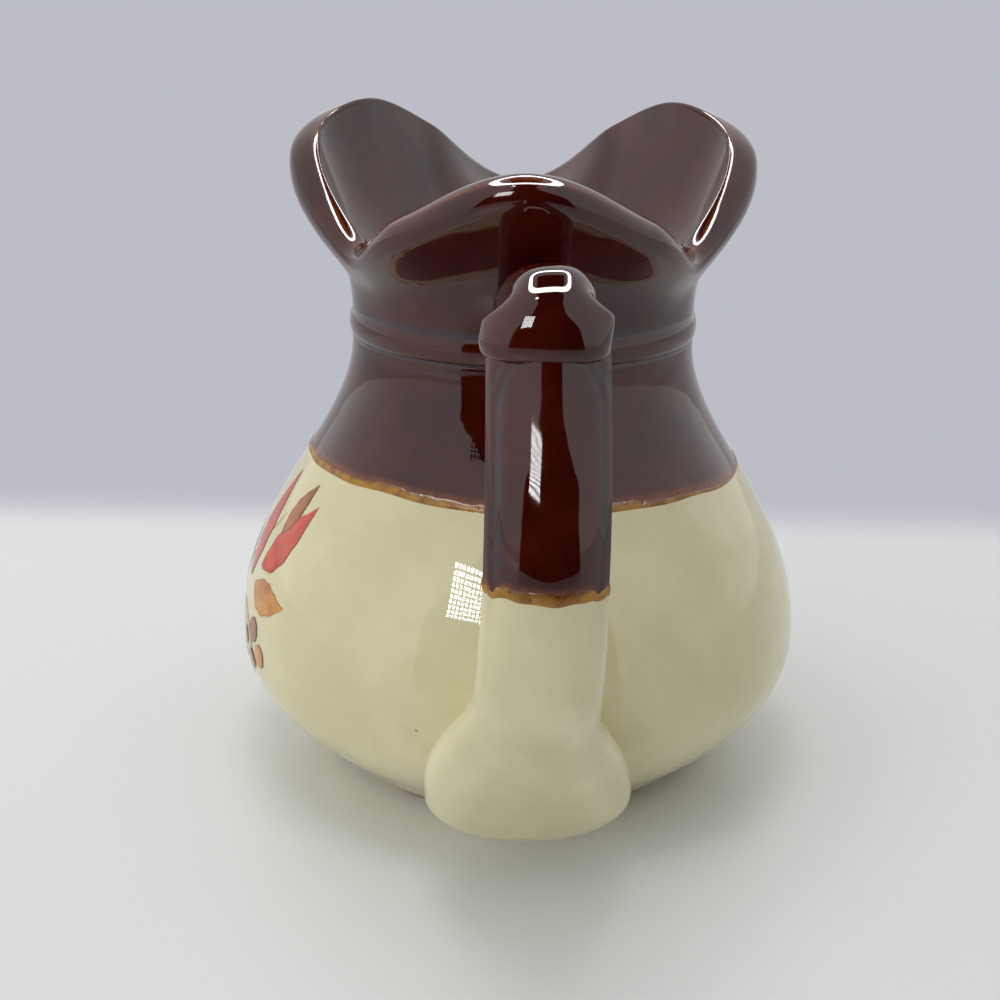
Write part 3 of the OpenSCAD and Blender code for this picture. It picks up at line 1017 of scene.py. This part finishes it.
class Graph:
    """Adds nodes to a node tree and wires them."""

    def __init__(self, tree: bpy.types.NodeTree) -> None:
        """Starts on a tree."""
        self.tree = tree

    def feed(self, socket: Socket, value: Value) -> None:
        """Sets or links one input."""
        if isinstance(value, bpy.types.NodeSocket):
            self.tree.links.new(value, socket)
        else:
            socket.default_value = value

    def add(self, kind: str, inputs: dict[str, Value] | None = None, **settings: object) -> bpy.types.Node:
        """Adds a node.

        Args:
            kind: The node's type.
            inputs: Values or sockets by the input's name.
            **settings: Properties of the node.

        Returns:
            The node.
        """
        node = self.tree.nodes.new(kind)
        for key, value in settings.items():
            setattr(node, key, value)
        for key, value in (inputs or {}).items():
            self.feed(node.inputs[key], value)
        return node

    def math(self, operation: str, *values: Value, clamp: bool = False) -> Socket:
        """A math node's result."""
        node = self.add("ShaderNodeMath", operation=operation, use_clamp=clamp)
        for socket, value in zip(node.inputs, values):
            self.feed(socket, value)
        return node.outputs[0]

    def span(
        self, value: Value, low: float, high: float, to_low: float = 0.0, to_high: float = 1.0
    ) -> Socket:
        """A value moved smoothly from one range to another."""
        ends = {"From Min": low, "From Max": high, "To Min": to_low, "To Max": to_high}
        inputs = {"Value": value} | ends
        return self.add("ShaderNodeMapRange", inputs, interpolation_type="SMOOTHSTEP").outputs[0]

    def blend(self, factor: Value, a: Value, b: Value) -> Socket:
        """A mix of two colours."""
        node = self.add("ShaderNodeMix", data_type="RGBA")
        for index, value in ((0, factor), (6, a), (7, b)):
            self.feed(node.inputs[index], value)
        return node.outputs[2]

    def noise(self, place: Socket, scale: Value, detail: float, rough: float) -> Socket:
        """A noise texture's value."""
        settings = {"Vector": place, "Scale": scale, "Detail": detail, "Roughness": rough}
        return self.add("ShaderNodeTexNoise", settings).outputs[0]

    def coat(self) -> Socket:
        """How the glaze lies, as stored on the mesh."""
        return self.add("ShaderNodeAttribute", attribute_name=COAT).outputs["Fac"]

    def place(self) -> Socket:
        """The place on the object."""
        return self.add("ShaderNodeTexCoord").outputs["Object"]

    def end(self, shader: bpy.types.Node, kind: str = "ShaderNodeOutputMaterial") -> None:
        """Leads a shader to the tree's output."""
        self.feed(self.add(kind).inputs["Surface"], shader.outputs[0])


def blank(name: str) -> tuple[bpy.types.Material, Graph]:
    """A new material without nodes, and its graph."""
    material = bpy.data.materials.new(name)
    material.use_nodes = True
    material.node_tree.nodes.clear()
    return material, Graph(material.node_tree)


class Effects:
    """Surface effects that several glazes share, each built once as a node group."""

    def __init__(self) -> None:
        """Builds the groups."""
        self.mottle = self._mottle()
        self.pinholes = self._pinholes()

    @staticmethod
    def _group(name: str, inputs: dict[str, tuple[str, float]], outputs: Sequence[str]) -> tuple:
        """An empty group with its sockets, as tree, graph, input node and output node."""
        tree = bpy.data.node_groups.new(name, "ShaderNodeTree")
        for key, (kind, value) in inputs.items():
            socket = tree.interface.new_socket(key, in_out="INPUT", socket_type=kind)
            if kind == "NodeSocketFloat":
                socket.default_value = value
        for key in outputs:
            tree.interface.new_socket(key, in_out="OUTPUT", socket_type="NodeSocketFloat")
        return tree, Graph(tree), tree.nodes.new("NodeGroupInput"), tree.nodes.new("NodeGroupOutput")

    def _mottle(self) -> bpy.types.NodeTree:
        """Clouds of thicker and thinner glaze, and the slight swell that they give the surface."""
        tree, graph, given, out = self._group(
            "Glaze Mottle",
            {"Place": ("NodeSocketVector", 0.0), "Scale": ("NodeSocketFloat", 60.0)},
            ("Cloud", "Grain", "Swell"),
        )
        place, scale = given.outputs["Place"], given.outputs["Scale"]
        cloud = graph.noise(place, scale, 4.0, 0.55)
        grain = graph.noise(place, graph.math("MULTIPLY", scale, 9.0), 3.0, 0.6)
        swell = graph.noise(place, graph.math("MULTIPLY", scale, 2.2), 1.0, 0.4)
        graph.feed(out.inputs["Cloud"], graph.span(cloud, 0.33, 0.67))
        graph.feed(out.inputs["Grain"], graph.span(grain, 0.3, 0.7))
        graph.feed(out.inputs["Swell"], swell)
        return tree

    def _pinholes(self) -> bpy.types.NodeTree:
        """Small round pits or specks, scattered one to a few cells."""
        tree, graph, given, out = self._group(
            "Pinholes",
            {
                "Place": ("NodeSocketVector", 0.0),
                "Scale": ("NodeSocketFloat", 200.0),
                "Size": ("NodeSocketFloat", 0.2),
                "Share": ("NodeSocketFloat", 0.3),
            },
            ("Mask",),
        )
        settings = {"Vector": given.outputs["Place"], "Scale": given.outputs["Scale"]}
        cells = graph.add("ShaderNodeTexVoronoi", settings)
        split = graph.add("ShaderNodeSeparateColor", {"Color": cells.outputs["Color"]})
        chosen = graph.math("LESS_THAN", split.outputs[0], given.outputs["Share"])
        size = graph.math("MULTIPLY", given.outputs["Size"], graph.math("ADD", split.outputs[1], 0.35))
        near = graph.math("DIVIDE", cells.outputs["Distance"], size)
        mask = graph.math("MULTIPLY", graph.span(near, 1.0, 0.45), chosen, clamp=True)
        graph.feed(out.inputs["Mask"], mask)
        return tree

    @staticmethod
    def use(graph: Graph, group: bpy.types.NodeTree, **inputs: Value) -> bpy.types.Node:
        """Places a group in a material."""
        node = graph.add("ShaderNodeGroup", node_tree=group)
        for key, value in inputs.items():
            graph.feed(node.inputs[key], value)
        return node


Colour = tuple[float, float, float, float]


def linear(value: int) -> float:
    """One channel of a screen colour, as a linear value."""
    share = value / 255
    return share / 12.92 if share <= 0.04045 else ((share + 0.055) / 1.055) ** 2.4


def tone(red: int, green: int, blue: int) -> Colour:
    """A screen colour as a linear one."""
    return (linear(red), linear(green), linear(blue), 1.0)


class Finish:
    """Base of the finishes: starts a material and closes it with its shader."""

    effects: Effects
    name: str

    def start(self, scale: float) -> tuple[bpy.types.Material, Graph, Socket, bpy.types.Node]:
        """A new material, its graph, the place on the piece, and its mottle at a scale."""
        material, graph = blank(self.name)
        place = graph.place()
        return material, graph, place, Effects.use(graph, self.effects.mottle, Place=place, Scale=scale)

    @staticmethod
    def close(graph: Graph, height: Socket | None, strength: float, depth: float, **inputs: Value) -> None:
        """Adds the shader, with a bump where there is a height.

        Args:
            graph: The material's graph.
            height: What the bump follows, or None.
            strength: The bump's strength.
            depth: The bump's depth in metres.
            **inputs: The shader's inputs, with underscores for spaces.
        """
        shader = graph.add("ShaderNodeBsdfPrincipled")
        for key, value in inputs.items():
            graph.feed(shader.inputs[key.replace("_", " ")], value)
        if height is not None:
            settings = {"Height": height, "Strength": strength, "Distance": depth}
            graph.feed(shader.inputs["Normal"], graph.add("ShaderNodeBump", settings).outputs[0])
        graph.end(shader)


@dataclass(frozen=True)
class DarkGlaze(Finish):
    """Glossy red-brown glaze that breaks to amber where it is thin and to slate where it pools."""

    effects: Effects
    name: str = "dark brown glaze"
    deep: Colour = tone(50, 8, 3)
    warm: Colour = tone(70, 17, 8)
    thin: Colour = tone(128, 62, 28)
    pooled: Colour = tone(40, 48, 58)

    def make(self) -> bpy.types.Material:
        """The material."""
        material, graph, _, mottle = self.start(70.0)
        coat = graph.coat()
        base = graph.blend(mottle.outputs["Cloud"], self.deep, self.warm)
        patchy = graph.span(mottle.outputs["Grain"], 0.0, 1.0, 0.55, 1.0)
        broken = graph.math("MULTIPLY", graph.span(coat, 0.15, 1.1), patchy)
        colour = graph.blend(broken, base, self.thin)
        colour = graph.blend(graph.span(coat, -0.15, -0.9, 0.0, 0.85), colour, self.pooled)
        rough = graph.span(mottle.outputs["Cloud"], 0.0, 1.0, 0.035, 0.075)
        self.close(
            graph, mottle.outputs["Swell"], 0.12, 0.0008, Base_Color=colour, Roughness=rough, IOR=1.54
        )
        return material


@dataclass(frozen=True)
class PaleGlaze(Finish):
    """Glossy cream glaze with faint clouds and iron specks."""

    effects: Effects
    name: str = "cream glaze"
    light: Colour = tone(226, 219, 180)
    shade: Colour = tone(214, 206, 164)
    speck: Colour = tone(120, 96, 62)

    def make(self) -> bpy.types.Material:
        """The material."""
        material, graph, place, mottle = self.start(38.0)
        specks = Effects.use(graph, self.effects.pinholes, Place=place, Scale=150.0, Size=0.05, Share=0.16)
        base = graph.blend(mottle.outputs["Cloud"], self.light, self.shade)
        colour = graph.blend(graph.math("MULTIPLY", specks.outputs["Mask"], 0.7), base, self.speck)
        rough = graph.span(mottle.outputs["Cloud"], 0.0, 1.0, 0.025, 0.045)
        self.close(
            graph, mottle.outputs["Swell"], 0.05, 0.0008, Base_Color=colour, Roughness=rough, IOR=1.5
        )
        return material


@dataclass(frozen=True)
class OchreGlaze(Finish):
    """The pitted ochre edge of the dark glaze."""

    effects: Effects
    name: str = "ochre glaze edge"
    light: Colour = tone(176, 126, 26)
    brown: Colour = tone(128, 80, 12)
    pit: Colour = tone(70, 34, 12)

    def make(self) -> bpy.types.Material:
        """The material."""
        material, graph, place, mottle = self.start(320.0)
        pits = Effects.use(graph, self.effects.pinholes, Place=place, Scale=620.0, Size=0.33, Share=0.3)
        base = graph.blend(mottle.outputs["Cloud"], self.light, self.brown)
        colour = graph.blend(graph.span(graph.coat(), 0.55, 1.05, 0.0, 0.85), base, self.pit)
        colour = graph.blend(graph.math("MULTIPLY", pits.outputs["Mask"], 0.8), colour, self.pit)
        height = graph.math("SUBTRACT", mottle.outputs["Swell"], pits.outputs["Mask"])
        rough = graph.span(mottle.outputs["Grain"], 0.0, 1.0, 0.22, 0.42)
        self.close(graph, height, 0.5, 0.0003, Base_Color=colour, Roughness=rough, IOR=1.5)
        return material


@dataclass(frozen=True)
class BareClay(Finish):
    """Unglazed buff clay on the foot."""

    effects: Effects
    name: str = "bare clay"
    light: Colour = tone(206, 184, 148)
    dark: Colour = tone(168, 142, 106)

    def make(self) -> bpy.types.Material:
        """The material."""
        material, graph, place, mottle = self.start(160.0)
        pits = Effects.use(graph, self.effects.pinholes, Place=place, Scale=700.0, Size=0.3, Share=0.4)
        base = graph.blend(mottle.outputs["Cloud"], self.light, self.dark)
        colour = graph.blend(graph.math("MULTIPLY", pits.outputs["Mask"], 0.5), base, self.dark)
        height = graph.math("SUBTRACT", mottle.outputs["Grain"], pits.outputs["Mask"])
        rough = graph.span(mottle.outputs["Grain"], 0.0, 1.0, 0.65, 0.85)
        self.close(graph, height, 0.4, 0.0004, Base_Color=colour, Roughness=rough)
        return material


class Ink(Enum):
    """The inks of the printed spray, as main and shaded colour."""

    RUST = ((214, 84, 44), (182, 58, 34))
    AMBER = ((214, 150, 62), (182, 112, 44))
    BROWN = ((176, 104, 46), (132, 72, 34))
    OLIVE = ((196, 184, 120), (166, 154, 92))


@dataclass(frozen=True)
class PrintedInk(Finish):
    """Ink fired under the clear gloss, paler along a leaf's vein."""

    effects: Effects
    name: str
    main: Colour
    shade: Colour

    def make(self) -> bpy.types.Material:
        """The material."""
        material, graph, _, mottle = self.start(190.0)
        across = graph.coat()
        base = graph.blend(mottle.outputs["Cloud"], self.main, self.shade)
        colour = graph.blend(graph.span(across, 0.72, 1.0, 0.0, 0.8), base, self.shade)
        colour = graph.blend(graph.span(across, 0.1, 0.0, 0.0, 0.5), colour, self.shade)
        rough = graph.span(mottle.outputs["Grain"], 0.0, 1.0, 0.07, 0.12)
        self.close(graph, None, 0.0, 0.0, Base_Color=colour, Roughness=rough, IOR=1.5)
        return material


class Motif(NamedTuple):
    """One leaf or berry of the spray.

    The foot is its place along the wall and its height, in millimetres from the middle of the print.
    """

    ink: Ink
    along: float
    height: float
    angle_deg: float
    length: float
    width: float
    bend_deg: float = 0.0
    berry: bool = False


def berry_at(ink: Ink, along: float, height: float, width: float) -> Motif:
    """A round berry about a place on the print."""
    return Motif(ink, along - width / 2, height, 0.0, width, width, berry=True)


@dataclass(frozen=True)
class Spray:
    """A printed spray of lance leaves and round berries on one side of the belly."""

    shape: BodyShape
    maker: Maker
    effects: Effects
    middle_deg: float = 180.0
    wrap_r: float = 63.0
    low: float = -6.0
    lift: float = 0.05
    lift_step: float = 0.012

    @cached_property
    def motifs(self) -> tuple[Motif, ...]:
        """The leaves and berries, lowest print first."""
        return (
            Motif(Ink.BROWN, -30.0, 33.0, 12.0, 66.0, 1.2, 40.0),
            Motif(Ink.OLIVE, 14.0, 44.0, -42.0, 19.0, 6.6, 14.0),
            Motif(Ink.OLIVE, -12.0, 36.0, -58.0, 15.0, 6.0, -16.0),
            Motif(Ink.OLIVE, -20.0, 38.0, 128.0, 17.0, 6.4, 18.0),
            Motif(Ink.AMBER, 6.0, 42.0, 112.0, 22.0, 7.4, -20.0),
            Motif(Ink.AMBER, 22.0, 50.0, -12.0, 19.0, 7.2, 26.0),
            Motif(Ink.RUST, 16.0, 49.0, 98.0, 25.0, 8.8, -22.0),
            Motif(Ink.RUST, 23.0, 54.0, 34.0, 23.0, 8.6, 24.0),
            Motif(Ink.RUST, -8.0, 39.0, 84.0, 22.0, 8.2, 22.0),
            Motif(Ink.RUST, -24.0, 35.0, 176.0, 18.0, 7.0, -18.0),
            Motif(Ink.BROWN, 27.0, 62.0, 66.0, 14.0, 5.4, -14.0),
            berry_at(Ink.BROWN, 27.5, 41.0, 5.6),
            berry_at(Ink.AMBER, 32.0, 36.5, 5.2),
            berry_at(Ink.BROWN, 26.0, 33.5, 4.8),
            berry_at(Ink.OLIVE, 20.5, 37.0, 4.4),
            berry_at(Ink.AMBER, 21.0, 29.5, 4.4),
            berry_at(Ink.OLIVE, 15.5, 31.5, 4.0),
            berry_at(Ink.AMBER, -2.0, 30.5, 4.8),
            berry_at(Ink.BROWN, -6.0, 26.5, 4.4),
            berry_at(Ink.OLIVE, 2.5, 26.0, 4.0),
        )

    def press(self, bm: bmesh.types.BMesh, motif: Motif, lift: float) -> None:
        """Cuts one motif from a grid and presses it on the wall.

        Args:
            bm: The mesh that it joins.
            motif: The motif.
            lift: How far it lies above the glaze.
        """
        coat = bm.verts.layers.float[COAT]
        grid = bmesh.ops.create_grid(bm, x_segments=20, y_segments=6, size=1.0)["verts"]
        for vert in grid:
            along, across = vert.co.x, vert.co.y
            share = (along + 1) / 2
            if motif.berry:
                spread = math.sqrt(max(0.0, 1 - along**2))
            else:
                spread = math.sin(math.pi * share**0.8) ** 1.15 * (1 + 0.06 * math.sin(9 * math.pi * share))
            angle = math.radians(motif.angle_deg + motif.bend_deg * share / 2)
            way = Vector((math.cos(angle), math.sin(angle)))
            side = Vector((-way.y, way.x))
            flat = motif.length * share * way + motif.width / 2 * spread * across * side
            azimuth = math.radians(self.middle_deg) + (motif.along + flat.x) / self.wrap_r
            at = self.shape.skin(self.shape.run_at(self.low + motif.height + flat.y), -lift)
            spot = self.shape.spot(azimuth, at)
            vert.co = Vector((spot.x, spot.y, spot.z)) * MM
            vert[coat] = math.hypot(across * spread, along) if motif.berry else abs(across)

    def build(self) -> None:
        """Makes and dresses the print, one piece to an ink."""
        for ink in Ink:
            bm = bmesh.new()
            bm.verts.layers.float.new(COAT)
            for layer, motif in enumerate(self.motifs):
                if motif.ink is ink:
                    self.press(bm, motif, self.lift + layer * self.lift_step)
            word = ink.name.lower()
            finish = PrintedInk(self.effects, f"{word} ink", *(tone(*value) for value in ink.value))
            self.maker.piece(bm, f"spray_{word}", finish.make(), Slot.OCHRE)


Point = tuple[float, float, float]


@dataclass(frozen=True)
class Studio:
    """The pale floor, the soft white surroundings with their lamps and dark screens, and the camera."""

    effects: Effects
    floor_w: float = 12.0
    floor_near: Colour = tone(229, 231, 232)
    # painted shade: the floor's colour far from the pot, where less light falls
    floor_far_painted_shade: Colour = tone(192, 193, 203)
    backdrop: Colour = tone(188, 189, 199)
    surround: float = 0.68
    sheen: float = 0.3
    lamp: float = 26.0
    white: Colour = (1.0, 1.0, 1.0, 1.0)
    screen: Colour = tone(24, 22, 22)
    front_size: Pair = (0.88, 0.95)
    front_at: Point = (0.0, -0.56, 0.475)
    front_waist: float = 0.42
    over_size: Pair = (0.42, 0.80)
    over_at: Point = (0.0, -0.16, 0.95)
    ring_w: float = 0.33
    ring_round: float = 0.13
    ring_face: float = 0.045
    ring_at: Point = (0.0, 0.008, 0.42)
    panel_w: float = 0.15
    panel_cells: tuple[int, int] = (9, 10)
    panel_gap: float = 0.0034
    panel_at: Point = (-0.2, -0.498, 0.358)
    panel_way: Point = (0.2, 0.46, -0.28)
    small_r: float = 0.012
    small_at: Point = (-0.076, -0.207, 0.42)
    eye: Point = (0.0, -0.300, 0.160)
    pitch_deg: float = 19.01
    yaw_deg: float = 0.85
    roll_deg: float = 0.8
    lens: float = 49.64

    def camera(self) -> None:
        """Sets the camera at the photograph's angle."""
        data = bpy.data.cameras.new("camera")
        data.lens, data.sensor_width = self.lens, 36.0
        data.clip_start, data.clip_end = 0.01, 50.0
        camera = bpy.data.objects.new("camera", data)
        bpy.context.scene.collection.objects.link(camera)
        turn = (
            Matrix.Rotation(math.radians(self.yaw_deg), 4, "Z")
            @ Matrix.Rotation(math.radians(90 - self.pitch_deg), 4, "X")
            @ Matrix.Rotation(math.radians(self.roll_deg), 4, "Z")
        )
        camera.matrix_world = Matrix.Translation(self.eye) @ turn
        bpy.context.scene.camera = camera

    @staticmethod
    def sheet(size: Pair, cells: tuple[int, int] = (1, 1)) -> bmesh.types.BMesh:
        """A flat sheet that faces +Z, of a width and height in metres and so many cells."""
        bm = bmesh.new()
        bmesh.ops.create_grid(bm, x_segments=cells[0], y_segments=cells[1], size=0.5)
        bmesh.ops.scale(bm, vec=(size[0], size[1], 1.0), verts=bm.verts[:])
        return bm

    @staticmethod
    def stand(
        bm: bmesh.types.BMesh, name: str, where: Matrix, material: bpy.types.Material
    ) -> bpy.types.Object:
        """Sets a mesh up as part of the stage.

        Args:
            bm: The mesh, which is freed.
            name: Its name.
            where: Its place.
            material: Its material.

        Returns:
            The object.
        """
        bmesh.ops.transform(bm, matrix=where, verts=bm.verts[:])
        mesh = bpy.data.meshes.new(name)
        bm.to_mesh(mesh)
        bm.free()
        mesh.materials.append(material)
        card = bpy.data.objects.new(name, mesh)
        bpy.context.scene.collection.objects.link(card)
        return card

    def unseen(
        self,
        bm: bmesh.types.BMesh,
        name: str,
        at: Point,
        material: bpy.types.Material,
        tilt: Matrix = Matrix.Identity(4),
        shades: bool = False,
    ) -> bpy.types.Object:
        """Sets up a card that the gloss of the pot mirrors and the camera doesn't see.

        Args:
            bm: The mesh, which is freed.
            name: Its name.
            at: Its place.
            material: Its material.
            tilt: How it is turned there.
            shades: Whether it also keeps light off the pot.

        Returns:
            The card.
        """
        card = self.stand(bm, name, Matrix.Translation(at) @ tilt, material)
        card.visible_camera, card.visible_diffuse, card.visible_shadow = False, shades, False
        return card

    def floor(self) -> None:
        """A pale, slightly glossy floor whose colour greys away from the pot as painted shade."""
        material, graph = blank("studio floor")
        place = graph.place()
        far = graph.add("ShaderNodeSeparateXYZ", {"Vector": place}).outputs["Y"]
        mottle = Effects.use(graph, self.effects.mottle, Place=place, Scale=6.0)
        # painted shade: the floor's colour greys with distance from the pot
        base = graph.blend(graph.span(far, 0.09, 0.32), self.floor_near, self.floor_far_painted_shade)
        rough = graph.span(mottle.outputs["Cloud"], 0.0, 1.0, 0.28, 0.34)
        plain = graph.add("ShaderNodeBsdfPrincipled", {"Base Color": base, "Roughness": rough})
        behind = graph.add("ShaderNodeEmission", {"Color": self.backdrop, "Strength": 1.0})
        seen = graph.add("ShaderNodeLightPath").outputs["Is Camera Ray"]
        share = graph.math("MULTIPLY", seen, graph.span(far, 0.125, 0.17))
        graph.end(graph.add("ShaderNodeMixShader", {0: share, 1: plain.outputs[0], 2: behind.outputs[0]}))
        self.stand(self.sheet((self.floor_w, self.floor_w)), "floor", Matrix.Identity(4), material)

    @staticmethod
    def soft(name: str, at: Point, size: float, watts: float) -> None:
        """A broad soft lamp that faces the pot and isn't mirrored in it.

        Args:
            name: Its name.
            at: Its place.
            size: Its width in metres.
            watts: Its power.
        """
        data = bpy.data.lights.new(name, "AREA")
        data.size, data.energy = size, watts
        lamp = bpy.data.objects.new(name, data)
        bpy.context.scene.collection.objects.link(lamp)
        place = Vector(at)
        lamp.matrix_world = Matrix.Translation(place) @ place.to_track_quat("Z", "Y").to_matrix().to_4x4()
        lamp.visible_glossy = False

    def world(self) -> None:
        """White surroundings all round, with a pale grey backdrop for the camera."""
        world = bpy.data.worlds.new("studio")
        bpy.context.scene.world = world
        world.use_nodes = True
        world.node_tree.nodes.clear()
        graph = Graph(world.node_tree)
        path = graph.add("ShaderNodeLightPath")
        level = graph.math("MULTIPLY_ADD", path.outputs["Is Glossy Ray"], self.sheen, self.surround)
        light = graph.add("ShaderNodeBackground", {"Color": self.white, "Strength": level})
        behind = graph.add("ShaderNodeBackground", {"Color": self.backdrop, "Strength": 1.0})
        seen = path.outputs["Is Camera Ray"]
        both = graph.add("ShaderNodeMixShader", {0: seen, 1: light.outputs[0], 2: behind.outputs[0]})
        graph.end(both, "ShaderNodeOutputWorld")

    def glow(self, name: str, strength: float) -> bpy.types.Material:
        """A lamp's face, or a dark one for a strength of 0."""
        material, graph = blank(name)
        colour = self.white if strength else self.screen
        graph.end(graph.add("ShaderNodeEmission", {"Color": colour, "Strength": strength or 1.0}))
        return material

    def screens(self) -> None:
        """The dark screens round the camera, of which the front one narrows upwards."""
        dark = self.glow("dark screen", 0.0)
        front = self.sheet(self.front_size, (1, 24))
        for vert in front.verts:
            vert.co.x *= mix(1.0, self.front_waist, ease((vert.co.y + 0.155) / 0.25))
        up = Matrix.Rotation(math.radians(90), 4, "X")
        self.unseen(front, "screen_front", self.front_at, dark, up, shades=True)
        self.unseen(self.sheet(self.over_size), "screen_over", self.over_at, dark)

    def ring_lamp(self) -> bmesh.types.BMesh:
        """The face of a square ring with round corners."""
        ring = self.sheet((self.ring_w, self.ring_w))
        bmesh.ops.bevel(
            ring,
            geom=ring.verts[:],
            offset=self.ring_round,
            segments=10,
            profile=0.5,
            affect="VERTICES",
            material=-1,
        )
        inner = ring.faces[:]
        bmesh.ops.inset_region(
            ring, faces=inner, thickness=self.ring_face, use_boundary=True, use_even_offset=True
        )
        bmesh.ops.delete(ring, geom=inner, context="FACES")
        return ring

    def panel_lamp(self) -> bmesh.types.BMesh:
        """The face of a panel of small square lamps."""
        panel = self.sheet((self.panel_w, self.panel_w), self.panel_cells)
        frames = bmesh.ops.inset_individual(panel, faces=panel.faces[:], thickness=self.panel_gap)
        bmesh.ops.delete(panel, geom=frames["faces"], context="FACES")
        return panel

    def lamps(self) -> None:
        """A ring lamp overhead, and a panel and a small lamp beside the camera."""
        bright = self.glow("lamp face", self.lamp)
        self.unseen(self.ring_lamp(), "ring_lamp", self.ring_at, bright)
        face = Vector(self.panel_way).to_track_quat("Z", "Y").to_matrix().to_4x4()
        panel = self.unseen(self.panel_lamp(), "panel_lamp", self.panel_at, bright, face)
        kept_off = bpy.data.collections.new("kept off the panel lamp")
        kept_off.objects.link(bpy.data.objects["shoulder_dark"])
        kept_off.collection_objects[0].light_linking.link_state = "EXCLUDE"
        panel.light_linking.receiver_collection = kept_off
        small = bmesh.new()
        bmesh.ops.create_circle(small, cap_ends=True, segments=24, radius=self.small_r)
        self.unseen(small, "small_lamp", self.small_at, bright)

    def build(self) -> None:
        """Sets the stage."""
        self.camera()
        self.floor()
        self.world()
        self.soft("lamp_above", (-0.05, 0.04, 0.7), 0.35, 1.0)
        self.soft("lamp_left", (-0.9, -0.5, 0.42), 0.8, 2.2)
        self.soft("lamp_front", (-0.5, -0.9, 0.4), 0.5, 1.5)
        self.screens()
        self.lamps()


def main() -> None:
    """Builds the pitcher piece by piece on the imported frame."""
    logging.basicConfig(level=logging.INFO, format="%(name)s: %(message)s")
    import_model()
    bpy.context.scene.view_settings.view_transform = "Standard"
    effects = Effects()
    glazes = {
        Slot.DARK: DarkGlaze(effects).make(),
        Slot.PALE: PaleGlaze(effects).make(),
        Slot.OCHRE: OchreGlaze(effects).make(),
        Slot.CLAY: BareClay(effects).make(),
    }
    maker = Maker()
    shape = BodyShape()
    Body(shape, maker).build(glazes)
    Mouth(shape, maker).build(glazes[Slot.DARK])
    Handle(HandleShape(shape), maker).build(glazes)
    Spray(shape, maker, effects).build()
    Studio(effects).build()
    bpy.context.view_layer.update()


if __name__ == "__main__":
    main()
